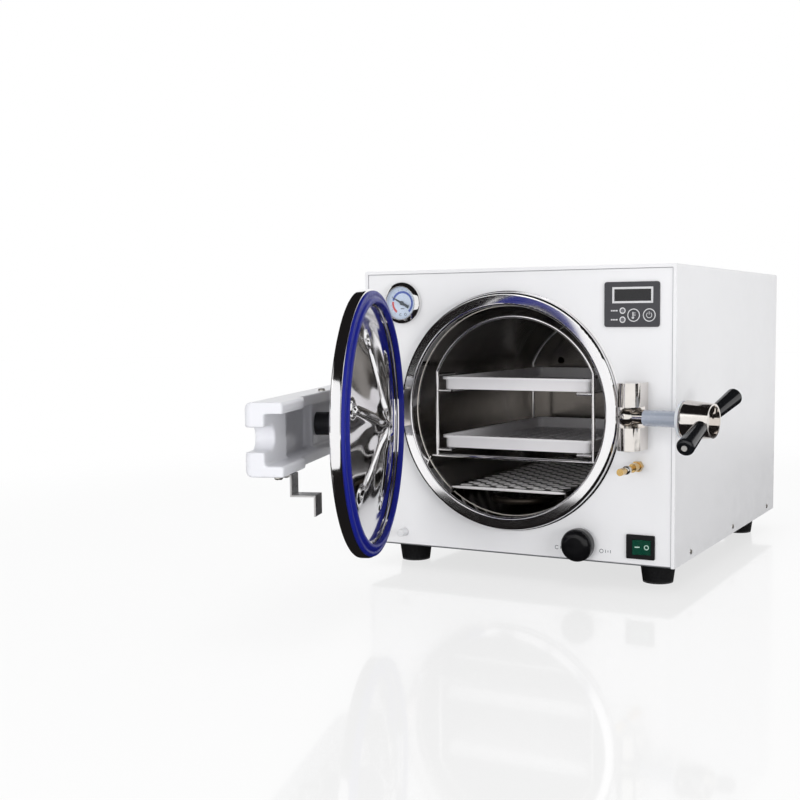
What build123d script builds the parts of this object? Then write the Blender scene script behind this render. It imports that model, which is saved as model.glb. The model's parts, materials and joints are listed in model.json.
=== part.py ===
from build123d import *
import os
from math import asin, cos, degrees, radians, sin, sqrt

# Tabletop steam sterilizer with a round pressure chamber, a side-hung door and a swing-bolt clamp.
# Millimetres, +Z up.  The front faces -Y, the hinge is on the -X side.  The origin is the middle of the
# case's footprint at the level of the table.  The door is made shut and then turned open.

# ---- Driving dimensions ---------------------------------------------------------------------------

# Case
CASE_W = 400.0
CASE_D = 480.0
CASE_H = 340.0
FOOT_H = 28.0
COVER_T = 1.2
COVER_R = 2.5
COVER_LIP = 4.0
PANEL_T = 1.5
PANEL_RECESS = 1.0
PANEL_GAP = 0.5
PANEL_FLANGE = 12.0
BASE_T = 1.5
BASE_FLANGE = 18.0
BASE_INSET = 2.0
FIT = 0.3
RUN = 0.05

# Feet and cover screws
FOOT_X = 163.0
FOOT_IN = 56.0
FOOT_R_TOP = 21.7
FOOT_R_SOLE = 17.8
FOOT_BORE_R = 2.6
FOOT_SINK_R = 7.0
FOOT_SINK_H = 12.0
FOOT_SCREW_R = 2.5
FOOT_HEAD_R = 5.0
FOOT_HEAD_H = 3.5
FOOT_NUT_R = 4.6
FOOT_NUT_H = 4.0
SIDE_SCREW_Z = 9.0
SIDE_SCREW_YS = (62.6, 250.5, 436.8)
SIDE_SCREW_R = 1.5
SIDE_HEAD_R = 3.0
SIDE_HEAD_H = 1.6
SIDE_SCREW_L = 9.0

# Pressure chamber
CHAMBER_X = -6.0
CHAMBER_Z = 171.0
BORE_R = 125.0
BORE_DEPTH = 350.0
CHAMBER_WALL = 2.0
BACK_T = 3.0
RING_W = 16.0
RING_PROUD = 8.0
RING_OUTER_FILLET = 4.0
RING_INNER_FILLET = 3.0
RING_GAP = 1.5
YOKE_T = 9.0
YOKE_OVER_RING = 11.0
YOKE_SIDE = 25.0
YOKE_H = 66.0
SPIGOT_R = 5.0
JACKET_T = 22.5
JACKET_AIR = 0.5
JACKET_BACK = 14.0
SADDLE_T = 4.0
SADDLE_W = 170.0
SADDLE_BITE = 54.0
SADDLE_FOOT = 24.0
SADDLE_YS = (60.0, 300.0)
SADDLE_SLOT = 1.0
PORT_X = -79.0
PORT_Z = 219.0
PORT_R = 5.0
NIPPLE_R = 6.5

# Heater below the shelf
HEATER_R = 4.0
HEATER_HALF_W = 32.0
HEATER_RISE = 17.0
HEATER_FRONT = 40.0
HEATER_TAIL = 30.0
GLAND_R = 8.0
GLAND_T = 6.0

# Shelf, rack and trays
SHELF_RISE = 33.0
SHELF_SIDE = 50.0
SHELF_T = 1.2
SHELF_LIP = 3.2
SHELF_BACK_GAP = 12.0
SLOT_L = 14.0
SLOT_W = 7.0
SLOT_STEP_X = 24.0
SLOT_STEP_Y = 22.0
SHELF_COLUMNS = 6
SHELF_ROWS = 15
ROD_R = 2.25
RUNNER_R = 2.0
ARCH_OVERLAP = 0.6
RACK_FRONT = 17.0
RACK_LENGTH = 291.0
RACK_SIDE = 22.5
RACK_DROP = 58.0
RACK_POST_TOP = 46.0
RACK_STUB = 45.0
RUNNER_STUB = 20.0
RUNNER_INSET = 14.0
TRAY_SIDE = 2.75
TRAY_L = 300.0
TRAY_H = 15.0
TRAY_T = 1.0
TRAY_RIM = 4.0
TRAY_EDGE = 3.0
TRAY_FRONT = 18.0
TRAY_RIM_ZS = (39.0, -33.0)
TRAY_HOLE_R = 3.0
TRAY_HOLE_STEP = 17.0
TRAY_COLUMNS = 10
TRAY_ROWS = 16
TRAY_CORNER = 7.0

# Hinge
HINGE_IN = 34.5
HINGE_OUT = 64.0
HINGE_BLOCK_HALF_W = 12.5
HINGE_BLOCK_H = 46.0
HINGE_FOOT_HALF_W = 15.5
HINGE_FOOT_H = 62.0
HINGE_FOOT_T = 6.0
HINGE_PITCH = 44.0
HINGE_PIN_R = 5.0
HINGE_HEAD_R = 7.5
HINGE_HEAD_H = 2.5
DOOR_OPEN = 71.5

# Door plate, seal and liner (distances from the front edge of the cover, door shut)
DOOR_OVER_RING = 1.0
DOOR_FACE = 14.0
DOOR_RIM_T = 12.0
DOOR_DOME = 10.0
DOOR_RIM_W = 22.0
DOOR_WALL = 8.0
DOOR_EDGE_FILLET = 2.5
SEAL_IN_RING = 0.5
SEAL_LIP_W = 2.4
SEAL_START = 2.6
SEAL_LIP_H = 5.7
SEAL_EDGE_H = 1.6
SEAL_KEY_IN = 8.0
SEAL_KEY_HALF = 2.5
SEAL_KEY_DEPTH = 3.5
SEAL_TO_LINER = 0.4
LINER_T = 1.2
LINER_FLAT = 24.0
LINER_RISE = 16.0
LINER_SINK = 4.0
RIB_COUNT = 6
RIB_W = 9.0
RIB_H = 2.6
RIB_END_IN = 34.2
RIB_HUB_R = 20.0
DIMPLE_R = 7.0
DIMPLE_DEPTH = 2.2
DIMPLE_BALL_R = 9.0
RIB_TURN = -14.0

# Door arm
ARM_OUT = 97.0
ARM_PAD_IN = 59.0
ARM_FLANGE_IN = 66.0
ARM_WEB = 20.0
ARM_POCKET_WEB = 10.0
ARM_POCKET_START = 13.0
ARM_POCKET_END = 104.0
ARM_H = 70.0
ARM_FLANGE = 10.7
ARM_OVERHANG = 20.0
ARM_PAD_START = 100.0
ARM_EAR_R = 12.0
ARM_NECK_X = 42.0
ARM_EDGE_R = 7.0
ARM_SLOT_H = 23.0
ARM_SLOT_DEPTH = 33.0
ARM_WEB_CUT = 10.0
BOSS_R = 12.3
CENTRE_BOLT_R = 6.0
CENTRE_HEAD_R = 11.0
CENTRE_HEAD_H = 7.0
ARM_SCREW_R = 2.0
ARM_SCREW_HEAD_R = 4.0
ARM_SCREW_HEAD_H = 2.6
ARM_SCREW_L = 9.0
ARM_TOP_SCREW_OUT = 71.0
ARM_LOW_SCREW_IN = 7.0
ARM_LOW_SCREW_OUT = 66.0

# Interlock bracket below the arm
BRACKET_IN = 46.5
BRACKET_W = 22.5
BRACKET_T = 1.6
BRACKET_DROP = 19.5
BRACKET_REACH = 23.0
BRACKET_TAIL = 20.0
BRACKET_TAB = 14.0
BRACKET_SCREW_OUT = 68.0

# Clamp block and swing bolt
CLAMP_IN = 46.0
CLAMP_OUT = 20.0
CLAMP_R = 14.0
CLAMP_LOW = 37.0
CLAMP_HIGH = 38.0
CLAMP_SLOT_H = 23.0
CLAMP_WEB = 11.0
CLAMP_PITCH = 50.0
PIVOT_IN = 2.0
PIVOT_OUT = 22.0
PIVOT_R = 4.0
PIVOT_TAIL = 1.5
BOLT_REST = 7.25
EYE_R = 10.8
BOLT_NECK_R = 7.0
BOLT_R = 8.0
BOLT_END = 92.0
BOLT_CHAMFER = 1.0
SLEEVE_START = 21.0
SLEEVE_END = 64.8
SLEEVE_T = 1.0
WASHER_START = 65.2
WASHER_T = 3.4
WASHER_R = 20.5
NUT_START = 69.0
NUT_L = 32.5
NUT_R_IN = 22.0
NUT_R_OUT = 18.6
NUT_SHOULDER = 3.0
NUT_RECESS_R = 16.6
NUT_RECESS = 6.0
NUT_BORE_OVER = 1.0
GRIP_ROOT_L = 22.9
GRIP_REACH = 71.0
GRIP_LEAN = 4.9
GRIP_TURN = 71.0
GRIP_ROOT_R = 7.4
GRIP_END_R = 9.8
GRIP_END_FILLET = 4.0
GRIP_SCREW_R = 3.0
GRIP_SCREW_H = 1.2
STUD_R = 4.0
STUD_START = 12.0
STUD_END = 58.0

# Pressure gauge
GAUGE_X = -146.0
GAUGE_Z = 300.5
GAUGE_R = 25.75
GAUGE_PROUD = 9.0
GAUGE_BEZEL = 6.25
GAUGE_CHAMFER = 2.0
GAUGE_STEM_R = 5.0
GAUGE_STEM_L = 8.0
GAUGE_BODY_R = 23.0
GAUGE_DEPTH = 26.0
DIAL_T = 0.8
DIAL_DEPTH = 6.5
GLASS_T = 1.2
GLASS_SET = 0.8
NEEDLE_ANGLE = 152.0
NEEDLE_TIP = 15.5
NEEDLE_TAIL = 11.0
NEEDLE_T = 0.6
NEEDLE_HALF = 0.9
NEEDLE_TAIL_HALF = 1.7
NEEDLE_HUB_R = 2.4
NEEDLE_HUB_L = 3.0
NEEDLE_LIFT = 1.2

# Display
DISPLAY_X0 = 116.3
DISPLAY_X1 = 181.0
DISPLAY_Z0 = 270.4
DISPLAY_Z1 = 320.8
DISPLAY_T = 2.0
DISPLAY_R = 3.0
DISPLAY_EDGE = 4.0
WINDOW_X0 = 125.8
WINDOW_X1 = 173.6
WINDOW_Z0 = 297.0
WINDOW_Z1 = 315.0
WINDOW_T = 1.2
WINDOW_SET = 0.2
WINDOW_INSET = 3.0
LAMP_X = 138.0
LAMP_ZS = (288.7, 278.6)
LAMP_R = 2.3
BUTTON_XS = (151.0, 169.2)
BUTTON_Z = 283.6
BUTTON_R = 5.9
BUTTON_PROUD = 0.5
BUTTON_TRAVEL = 0.8
BUTTON_COLLAR_R = 7.4
BUTTON_COLLAR_T = 1.0
BOARD_GAP = 10.0
BOARD_T = 1.6
BOARD_MARGIN = 2.5
POST_R = 2.5

# Rocker switch
SWITCH_X0 = 143.6
SWITCH_X1 = 177.2
SWITCH_Z0 = 8.1
SWITCH_Z1 = 35.9
SWITCH_PROUD = 2.2
SWITCH_RIM = 2.6
SWITCH_CORNER = 1.5
ROCKER_X0 = 151.4
ROCKER_X1 = 172.2
ROCKER_Z0 = 13.5
ROCKER_Z1 = 30.3
ROCKER_TILT = 8.0
ROCKER_SIDE = 0.6
ROCKER_EDGE = 4.0
ROCKER_MIDDLE = 2.4
ROCKER_BACK = 6.0
ROCKER_BACK_HALF = 7.5
ROCKER_BAY = 9.0
SWITCH_DEPTH = 24.0
ROCKER_PIN_R = 1.5
ROCKER_PIN_L = 1.2
BLADE_L = 8.0
BLADE_W = 6.3
BLADE_T = 0.8

# Exhaust valve and knob
KNOB_X = 88.0
KNOB_Z = 20.5
KNOB_R = 19.0
KNOB_FRONT = 22.0
KNOB_FILLET = 9.0
KNOB_BACK_FILLET = 3.0
KNOB_LIFT = 0.6
COLLAR_R = 16.5
COLLAR_T = 3.5
STEM_R = 4.0
STEM_IN = 18.0
VALVE_R = 10.5
VALVE_L = 42.0

# Reset button with its thermostat
RESET_X = -147.5
RESET_Z = 16.5
RESET_R = 4.6
RESET_PROUD = 12.0
RESET_STEM = 8.0
RESET_FILLET = 1.0
RESET_BODY_R = 9.0
RESET_BODY_L = 22.0
RESET_TRAVEL = 2.0

# Pressure lock pin
LOCK_IN = 43.0
LOCK_Z = 114.0
LOCK_HEX_R = 6.6
LOCK_HEX_T = 7.0
LOCK_BARREL_R = 4.9
LOCK_BARREL_L = 21.0
LOCK_INNER_L = 30.0
LOCK_WALL = 3.0
LOCK_STEM_R = 2.4
LOCK_COLLAR_R = 4.4
LOCK_COLLAR_OUT = 38.0
LOCK_TIP_R = 4.0
LOCK_TIP_L = 12.0
LOCK_OUT = 60.0

# Pipes and rear fittings
PIPE_R = 4.0
PIPE_BEND = 15.0
PIPE_SOCKET = 8.0
MANIFOLD = 26.0
MANIFOLD_GAP = 2.0
SAFETY_R = 8.0
SAFETY_CAP_R = 10.0
SAFETY_SHOULDER = 6.0
SAFETY_OUT = 20.0
DRAIN_X = -6.0
DRAIN_RISE = 13.0
DRAIN_R = 5.0
DRAIN_BORE_R = 3.5
DRAIN_NUT_R = 9.0
DRAIN_NUT_T = 4.0
DRAIN_BARB_R = 6.5
DRAIN_OUT = 20.0
INLET_X = 120.0
INLET_Z = 52.0
INLET_W = 50.0
INLET_H = 24.0
INLET_BODY_W = 28.0
INLET_BODY_H = 20.0
INLET_DEPTH = 22.0
INLET_FLANGE_T = 2.5
INLET_CORNER = 2.0
INLET_BAY_W = 24.0
INLET_BAY_H = 16.0
INLET_BAY = 16.0
PIN_PITCH = 7.0
PIN_DROP = 2.0
PIN_T = 2.0
PIN_W = 4.0
VENT_COUNT = 9
VENT_PITCH = 11.0
VENT_H = 46.0
VENT_W = 4.0
VENT_X = -120.0
VENT_Z = 60.0
POWER_X = 150.0
POWER_Y = 320.0
POWER_W = 64.0
POWER_L = 110.0
POWER_LIFT = 6.0
COIL_W = 40.0
COIL_L = 46.0
COIL_H = 38.0

# ---- Worked-out places ----------------------------------------------------------------------------

FRONT = -CASE_D / 2
BACK = CASE_D / 2
HALF_W = CASE_W / 2
TOP = FOOT_H + CASE_H
FLOOR_TOP = FOOT_H + BASE_T
PANEL_FRONT = FRONT + PANEL_RECESS
PANEL_BACK = PANEL_FRONT + PANEL_T
PANEL_HALF_W = HALF_W - COVER_LIP - PANEL_GAP
PANEL_TOP = TOP - COVER_LIP - PANEL_GAP
REAR_OUT = BACK - PANEL_RECESS
REAR_IN = REAR_OUT - PANEL_T
AXIS_Z = FOOT_H + CHAMBER_Z
TUBE_R = BORE_R + CHAMBER_WALL
JACKET_R = TUBE_R + JACKET_AIR + JACKET_T
RING_R = BORE_R + RING_W
YOKE_R = RING_R + YOKE_OVER_RING
YOKE_W = CASE_W - 2 * YOKE_SIDE
DOOR_R = RING_R + DOOR_OVER_RING
DOOR_DOME_R = DOOR_R - DOOR_RIM_W
SEAL_R = RING_R - SEAL_IN_RING
SEAL_INNER_R = BORE_R + SEAL_START
SEAL_LIP_R = SEAL_INNER_R + SEAL_LIP_W
SEAL_KEY_R = DOOR_R - SEAL_KEY_IN
LINER_R = SEAL_INNER_R - SEAL_TO_LINER
RIB_OUT = LINER_R - RIB_END_IN
HEATER_DROP = BORE_R - HEATER_RISE
SHELF_DROP = BORE_R - SHELF_RISE
SHELF_W = 2 * (BORE_R - SHELF_SIDE)
RACK_HALF_W = BORE_R - RACK_SIDE
TRAY_W = 2 * (RACK_HALF_W - TRAY_SIDE)
DRAIN_DROP = BORE_R - DRAIN_RISE
RING_FACE = FRONT - RING_PROUD
YOKE_BACK = PANEL_BACK + YOKE_T
BORE_END = RING_FACE + BORE_DEPTH
JACKET_END = BORE_END + BACK_T + JACKET_BACK
SADDLE_DROP = JACKET_R - SADDLE_BITE
SLEEVE_R = BOLT_R + SLEEVE_T
SADDLE_TOP = AXIS_Z - SADDLE_DROP
BASE_HALF_W = HALF_W - COVER_T - FIT
HINGE_X = -HALF_W + HINGE_IN
CLAMP_X = HALF_W - CLAMP_IN
PIVOT_X = CLAMP_X - PIVOT_IN
LOCK_X = HALF_W - LOCK_IN
ARM_END = CLAMP_X + ARM_OVERHANG
ARM_LOW_SCREW_X = ARM_END - ARM_LOW_SCREW_IN
BRACKET_X = ARM_END - BRACKET_IN
HINGE_Y = FRONT - HINGE_OUT
PIVOT_Y = FRONT - PIVOT_OUT
CLAMP_Y = FRONT - CLAMP_OUT
MANIFOLD_Y = JACKET_END + MANIFOLD_GAP + MANIFOLD / 2
HINGE = Axis((HINGE_X, HINGE_Y, 0), (0, 0, 1))
PIVOT = Axis((PIVOT_X, PIVOT_Y, 0), (0, 0, 1))
CHAMBER_AXIS = Axis((CHAMBER_X, 0, AXIS_Z), (0, 1, 0))


def facing(y):
    """Upright sketch plane at depth y: sketch x is +X, sketch y is +Z, a positive extrusion goes to -Y."""
    return Plane(origin=(0, y, 0), x_dir=(1, 0, 0), z_dir=(0, -1, 0))


def beside(x):
    """Sketch plane across the case at x: sketch x is +Y, sketch y is +Z, a positive extrusion goes to +X."""
    return Plane(origin=(x, 0, 0), x_dir=(0, 1, 0), z_dir=(1, 0, 0))


def turned(points, x, z):
    """Solid turned about the line along Y through (x, z) from (radius, y) corners."""
    with BuildPart() as made:
        with BuildSketch(Plane(origin=(x, 0, z))):
            with BuildLine():
                Polyline(*points, close=True)
            make_face()
        revolve(axis=Axis((x, 0, z), (0, 1, 0)))
    return made.part


def save(part, name):
    """Label a finished piece and write it as its own file."""
    part.label = name
    export_step(part, f"parts/{name}.step")


def opened(part):
    """Turn a piece of the shut door about the hinge to its resting place."""
    return part.rotate(HINGE, -DOOR_OPEN)


def swung(part):
    """Turn a piece made along +X from the pivot to the bolt's resting direction."""
    return part.rotate(PIVOT, -BOLT_REST)


def turned_on_bolt(points):
    """Solid turned about the bolt's line, made along +X, from (distance from the pivot, radius) corners."""
    with BuildPart() as made:
        with BuildSketch(Plane(origin=(PIVOT_X, PIVOT_Y, AXIS_Z))):
            with BuildLine():
                Polyline(*points, close=True)
            make_face()
        revolve(axis=Axis((PIVOT_X, PIVOT_Y, AXIS_Z), (1, 0, 0)))
    return made.part


def bar(start, end, radius):
    """Straight round bar between two points."""
    run = Vector(*end) - Vector(*start)
    with BuildPart() as made:
        with BuildSketch(Plane(origin=start, z_dir=run)):
            Circle(radius)
        extrude(amount=run.length)
    return made.part


def on_panel(x, z):
    """Panel place from a height above the case's underside."""
    return (x, FOOT_H + z)


os.makedirs("parts", exist_ok=True)

# ---- Case -----------------------------------------------------------------------------------------

side_spots = [(FRONT + y, FOOT_H + SIDE_SCREW_Z) for y in SIDE_SCREW_YS]
foot_spots = [
    (side * FOOT_X, end * (CASE_D / 2 - FOOT_IN)) for side in (-1, 1) for end in (-1, 1)
]

# Cover: one sheet over the left, top and right, with narrow lips folded in at both ends
with BuildPart() as outer_cover:
    with BuildSketch(facing(BACK)) as skin:
        with Locations((0, FOOT_H + CASE_H / 2)):
            Rectangle(CASE_W, CASE_H)
        fillet(skin.vertices().group_by(Axis.Y)[-1], COVER_R)
        with Locations((0, FOOT_H + (CASE_H - COVER_T) / 2)):
            Rectangle(CASE_W - 2 * COVER_T, CASE_H - COVER_T, mode=Mode.SUBTRACT)
    extrude(amount=CASE_D)
    for lip_back in (FRONT + COVER_T, BACK):
        with BuildSketch(facing(lip_back)) as lip:
            with Locations((0, FOOT_H + CASE_H / 2)):
                Rectangle(CASE_W, CASE_H)
            fillet(lip.vertices().group_by(Axis.Y)[-1], COVER_R)
            with Locations((0, FOOT_H + (CASE_H - COVER_LIP) / 2)):
                Rectangle(CASE_W - 2 * COVER_LIP, CASE_H - COVER_LIP, mode=Mode.SUBTRACT)
        extrude(amount=COVER_T)
    with BuildSketch(beside(-HALF_W)):
        with Locations(*side_spots):
            Circle(SIDE_SCREW_R + RUN)
    extrude(amount=CASE_W, mode=Mode.SUBTRACT)
save(outer_cover.part, "outer_cover")

# Base pan: floor with a flange turned up inside each side of the cover
with BuildPart() as base_pan:
    with BuildSketch(Plane.XY.offset(FOOT_H)):
        Rectangle(2 * BASE_HALF_W, CASE_D - 2 * BASE_INSET)
    extrude(amount=BASE_T)
    with BuildSketch(Plane.XY.offset(FOOT_H)):
        with Locations((BASE_HALF_W - BASE_T / 2, 0), (BASE_T / 2 - BASE_HALF_W, 0)):
            Rectangle(BASE_T, CASE_D - 2 * BASE_INSET)
    extrude(amount=BASE_FLANGE)
    with BuildSketch(beside(-HALF_W)):
        with Locations(*side_spots):
            Circle(SIDE_SCREW_R + RUN)
    extrude(amount=CASE_W, mode=Mode.SUBTRACT)
    with BuildSketch(Plane.XY.offset(FOOT_H)):
        with Locations(*foot_spots):
            Circle(FOOT_SCREW_R + RUN)
    extrude(amount=BASE_T, mode=Mode.SUBTRACT)
save(base_pan.part, "base_pan")


def case_plate(sheet_y, flange_y):
    """Flat end plate of the case, its sheet in front of sheet_y and its flanges in front of flange_y."""
    width = 2 * PANEL_HALF_W
    height = PANEL_TOP - FLOOR_TOP
    middle = (0, (PANEL_TOP + FLOOR_TOP) / 2)
    with BuildPart() as plate:
        with BuildSketch(facing(sheet_y)):
            with Locations(middle):
                Rectangle(width, height)
        extrude(amount=PANEL_T)
        with BuildSketch(facing(flange_y)):
            with Locations(middle):
                Rectangle(width, height)
                Rectangle(width - 2 * PANEL_T, height - 2 * PANEL_T, mode=Mode.SUBTRACT)
        extrude(amount=PANEL_FLANGE)
    return plate.part


def block_spots(x, pitch):
    """The two places, above and below the chamber's axis, where a front block meets the yoke."""
    return [(x, AXIS_Z - pitch / 2), (x, AXIS_Z + pitch / 2)]


display_mid = on_panel((DISPLAY_X0 + DISPLAY_X1) / 2, (DISPLAY_Z0 + DISPLAY_Z1) / 2)
display_w = DISPLAY_X1 - DISPLAY_X0
display_h = DISPLAY_Z1 - DISPLAY_Z0
window_mid = on_panel((WINDOW_X0 + WINDOW_X1) / 2, (WINDOW_Z0 + WINDOW_Z1) / 2)
window_w = WINDOW_X1 - WINDOW_X0
window_h = WINDOW_Z1 - WINDOW_Z0
switch_mid = on_panel((SWITCH_X0 + SWITCH_X1) / 2, (SWITCH_Z0 + SWITCH_Z1) / 2)
switch_w = SWITCH_X1 - SWITCH_X0
switch_h = SWITCH_Z1 - SWITCH_Z0
switch_body_w = switch_w - 2 * SWITCH_RIM
switch_body_h = switch_h - 2 * SWITCH_RIM
button_spots = [on_panel(x, BUTTON_Z) for x in BUTTON_XS]
lamp_spots = [on_panel(LAMP_X, z) for z in LAMP_ZS]

# Front panel with every opening that the front fittings pass through
with BuildPart() as front_panel:
    add(case_plate(PANEL_BACK, PANEL_BACK + PANEL_FLANGE))
    with BuildSketch(facing(PANEL_BACK)):
        with Locations((CHAMBER_X, AXIS_Z)):
            Circle(RING_R + RING_GAP)
        with Locations(on_panel(GAUGE_X, GAUGE_Z)):
            Circle(GAUGE_BODY_R + RUN)
        with Locations(display_mid):
            Rectangle(display_w - 2 * DISPLAY_EDGE, display_h - 2 * DISPLAY_EDGE)
        with Locations(switch_mid):
            Rectangle(switch_body_w + 2 * RUN, switch_body_h + 2 * RUN)
        with Locations(on_panel(KNOB_X, KNOB_Z)):
            Circle(STEM_R + FIT)
        with Locations(on_panel(RESET_X, RESET_Z)):
            Circle(RESET_R + FIT)
        with Locations(on_panel(LOCK_X, LOCK_Z)):
            Circle(LOCK_BARREL_R + RUN)
        with Locations(*block_spots(CLAMP_X, CLAMP_PITCH), *block_spots(HINGE_X, HINGE_PITCH)):
            Circle(SPIGOT_R + RUN)
    extrude(amount=PANEL_T, mode=Mode.SUBTRACT)
save(front_panel.part, "front_panel")

inlet_mid = on_panel(INLET_X, INLET_Z)
port_mid = on_panel(PORT_X, PORT_Z)
drain_mid = (DRAIN_X, AXIS_Z - DRAIN_DROP)

# Rear panel with its vents and the openings of the rear fittings
with BuildPart() as rear_panel:
    add(case_plate(REAR_OUT, REAR_IN))
    with BuildSketch(facing(REAR_OUT)):
        with Locations(inlet_mid):
            Rectangle(INLET_BODY_W + 2 * RUN, INLET_BODY_H + 2 * RUN)
        with Locations(port_mid):
            Circle(SAFETY_R + RUN)
        with Locations(drain_mid):
            Circle(DRAIN_R + RUN)
        with Locations(on_panel(VENT_X, VENT_Z)):
            with GridLocations(VENT_PITCH, 0, VENT_COUNT, 1):
                SlotOverall(VENT_H, VENT_W, rotation=90)
    extrude(amount=PANEL_T, mode=Mode.SUBTRACT)
save(rear_panel.part, "rear_panel")

# Four rubber feet, narrower at the sole, sunk below for their screws
with BuildPart() as feet:
    with Locations(*[(x, y, FOOT_H / 2) for x, y in foot_spots]):
        Cone(FOOT_R_SOLE, FOOT_R_TOP, FOOT_H)
        Cylinder(FOOT_BORE_R, FOOT_H, mode=Mode.SUBTRACT)
    with Locations(*[(x, y, FOOT_SINK_H / 2) for x, y in foot_spots]):
        Cylinder(FOOT_SINK_R, FOOT_SINK_H, mode=Mode.SUBTRACT)
save(feet.part, "feet")

# Foot screws: head in the foot's sink, shank through the floor, nut inside the case
with BuildPart() as foot_screws:
    with BuildSketch(Plane.XY.offset(FOOT_SINK_H - FOOT_HEAD_H)):
        with Locations(*foot_spots):
            Circle(FOOT_HEAD_R)
    extrude(amount=FOOT_HEAD_H)
    with BuildSketch(Plane.XY.offset(FOOT_SINK_H)):
        with Locations(*foot_spots):
            Circle(FOOT_SCREW_R)
    extrude(amount=FLOOR_TOP + FOOT_NUT_H - FOOT_SINK_H)
    with BuildSketch(Plane.XY.offset(FLOOR_TOP)):
        with Locations(*foot_spots):
            RegularPolygon(FOOT_NUT_R, 6)
    extrude(amount=FOOT_NUT_H)
save(foot_screws.part, "foot_screws")

# Six pan-head screws low on the sides
with BuildPart() as cover_screws:
    for side in (-1, 1):
        with BuildSketch(beside(side * HALF_W)):
            with Locations(*side_spots):
                Circle(SIDE_HEAD_R)
        extrude(amount=side * SIDE_HEAD_H)
        with BuildSketch(beside(side * HALF_W)):
            with Locations(*side_spots):
                Circle(SIDE_SCREW_R)
        extrude(amount=-side * SIDE_SCREW_L)
save(cover_screws.part, "cover_screws")

# ---- Pressure chamber -----------------------------------------------------------------------------

# Mouth ring with the yoke plate behind the panel that carries the hinge and the clamp
with BuildPart() as chamber_flange:
    with BuildSketch(Plane(origin=(CHAMBER_X, 0, AXIS_Z))) as section:
        with BuildLine():
            Polyline(
                (BORE_R, RING_FACE),
                (RING_R, RING_FACE),
                (RING_R, YOKE_BACK),
                (BORE_R, YOKE_BACK),
                close=True,
            )
        make_face()
        face_corners = section.vertices().group_by(Axis.Y)[0].sort_by(Axis.X)
        fillet(face_corners[0], RING_INNER_FILLET)
        outer_corner = section.vertices().group_by(Axis.Y)[0].sort_by(Axis.X)[-1]
        fillet(outer_corner, RING_OUTER_FILLET)
    revolve(axis=CHAMBER_AXIS)
    with BuildSketch(facing(YOKE_BACK)):
        with Locations((CHAMBER_X, AXIS_Z)):
            Circle(YOKE_R)
            Rectangle(YOKE_W, YOKE_H)
            Circle((BORE_R + RING_R) / 2, mode=Mode.SUBTRACT)
    extrude(amount=YOKE_T)
save(chamber_flange.part, "chamber_flange")

chamber_tube = turned(
    [(BORE_R, YOKE_BACK), (TUBE_R, YOKE_BACK), (TUBE_R, BORE_END), (BORE_R, BORE_END)],
    CHAMBER_X,
    AXIS_Z,
)
save(chamber_tube, "chamber_tube")

heater_spots = [(CHAMBER_X + side * HEATER_HALF_W, AXIS_Z - HEATER_DROP) for side in (-1, 1)]
BACK_OUT = BORE_END + BACK_T

with BuildPart() as chamber_back:
    with BuildSketch(facing(BACK_OUT)):
        with Locations((CHAMBER_X, AXIS_Z)):
            Circle(TUBE_R)
        with Locations(port_mid):
            Circle(PORT_R, mode=Mode.SUBTRACT)
        with Locations(drain_mid):
            Circle(DRAIN_BORE_R, mode=Mode.SUBTRACT)
        with Locations(*heater_spots):
            Circle(HEATER_R + RUN, mode=Mode.SUBTRACT)
    extrude(amount=BACK_T)
save(chamber_back.part, "chamber_back")

saddle_ys = [FRONT + y for y in SADDLE_YS]

# Insulation: a cup of mineral wool round the tube, open where the saddles and the rear fittings pass
with BuildPart() as insulation_jacket:
    add(
        turned(
            [
                (TUBE_R + JACKET_AIR, YOKE_BACK),
                (JACKET_R, YOKE_BACK),
                (JACKET_R, JACKET_END),
                (0, JACKET_END),
                (0, BACK_OUT),
                (TUBE_R + JACKET_AIR, BACK_OUT),
            ],
            CHAMBER_X,
            AXIS_Z,
        )
    )
    for y in saddle_ys:
        with BuildSketch(facing(y + SADDLE_T / 2 + SADDLE_SLOT)):
            with Locations((CHAMBER_X, AXIS_Z - JACKET_R / 2)):
                Rectangle(SADDLE_W + 2 * SADDLE_SLOT, JACKET_R)
        extrude(amount=SADDLE_T + 2 * SADDLE_SLOT, mode=Mode.SUBTRACT)
    with BuildSketch(facing(JACKET_END)):
        with Locations(port_mid):
            Circle(NIPPLE_R + FIT)
        with Locations(drain_mid):
            Circle(DRAIN_R + FIT)
        with Locations(*heater_spots):
            Circle(GLAND_R + FIT)
    extrude(amount=JACKET_BACK, mode=Mode.SUBTRACT)
save(insulation_jacket.part, "insulation_jacket")

# Two saddles that stand on the floor and hold the tube
with BuildPart() as chamber_saddles:
    for y in saddle_ys:
        with BuildSketch(facing(y + SADDLE_T / 2)):
            with Locations((CHAMBER_X, (FLOOR_TOP + SADDLE_TOP) / 2)):
                Rectangle(SADDLE_W, SADDLE_TOP - FLOOR_TOP)
            with Locations((CHAMBER_X, AXIS_Z)):
                Circle(TUBE_R + FIT, mode=Mode.SUBTRACT)
        extrude(amount=SADDLE_T)
        with BuildSketch(Plane.XY.offset(FLOOR_TOP)):
            with Locations((CHAMBER_X, y)):
                Rectangle(SADDLE_W, SADDLE_FOOT)
        extrude(amount=SADDLE_T)
save(chamber_saddles.part, "chamber_saddles")

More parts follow.
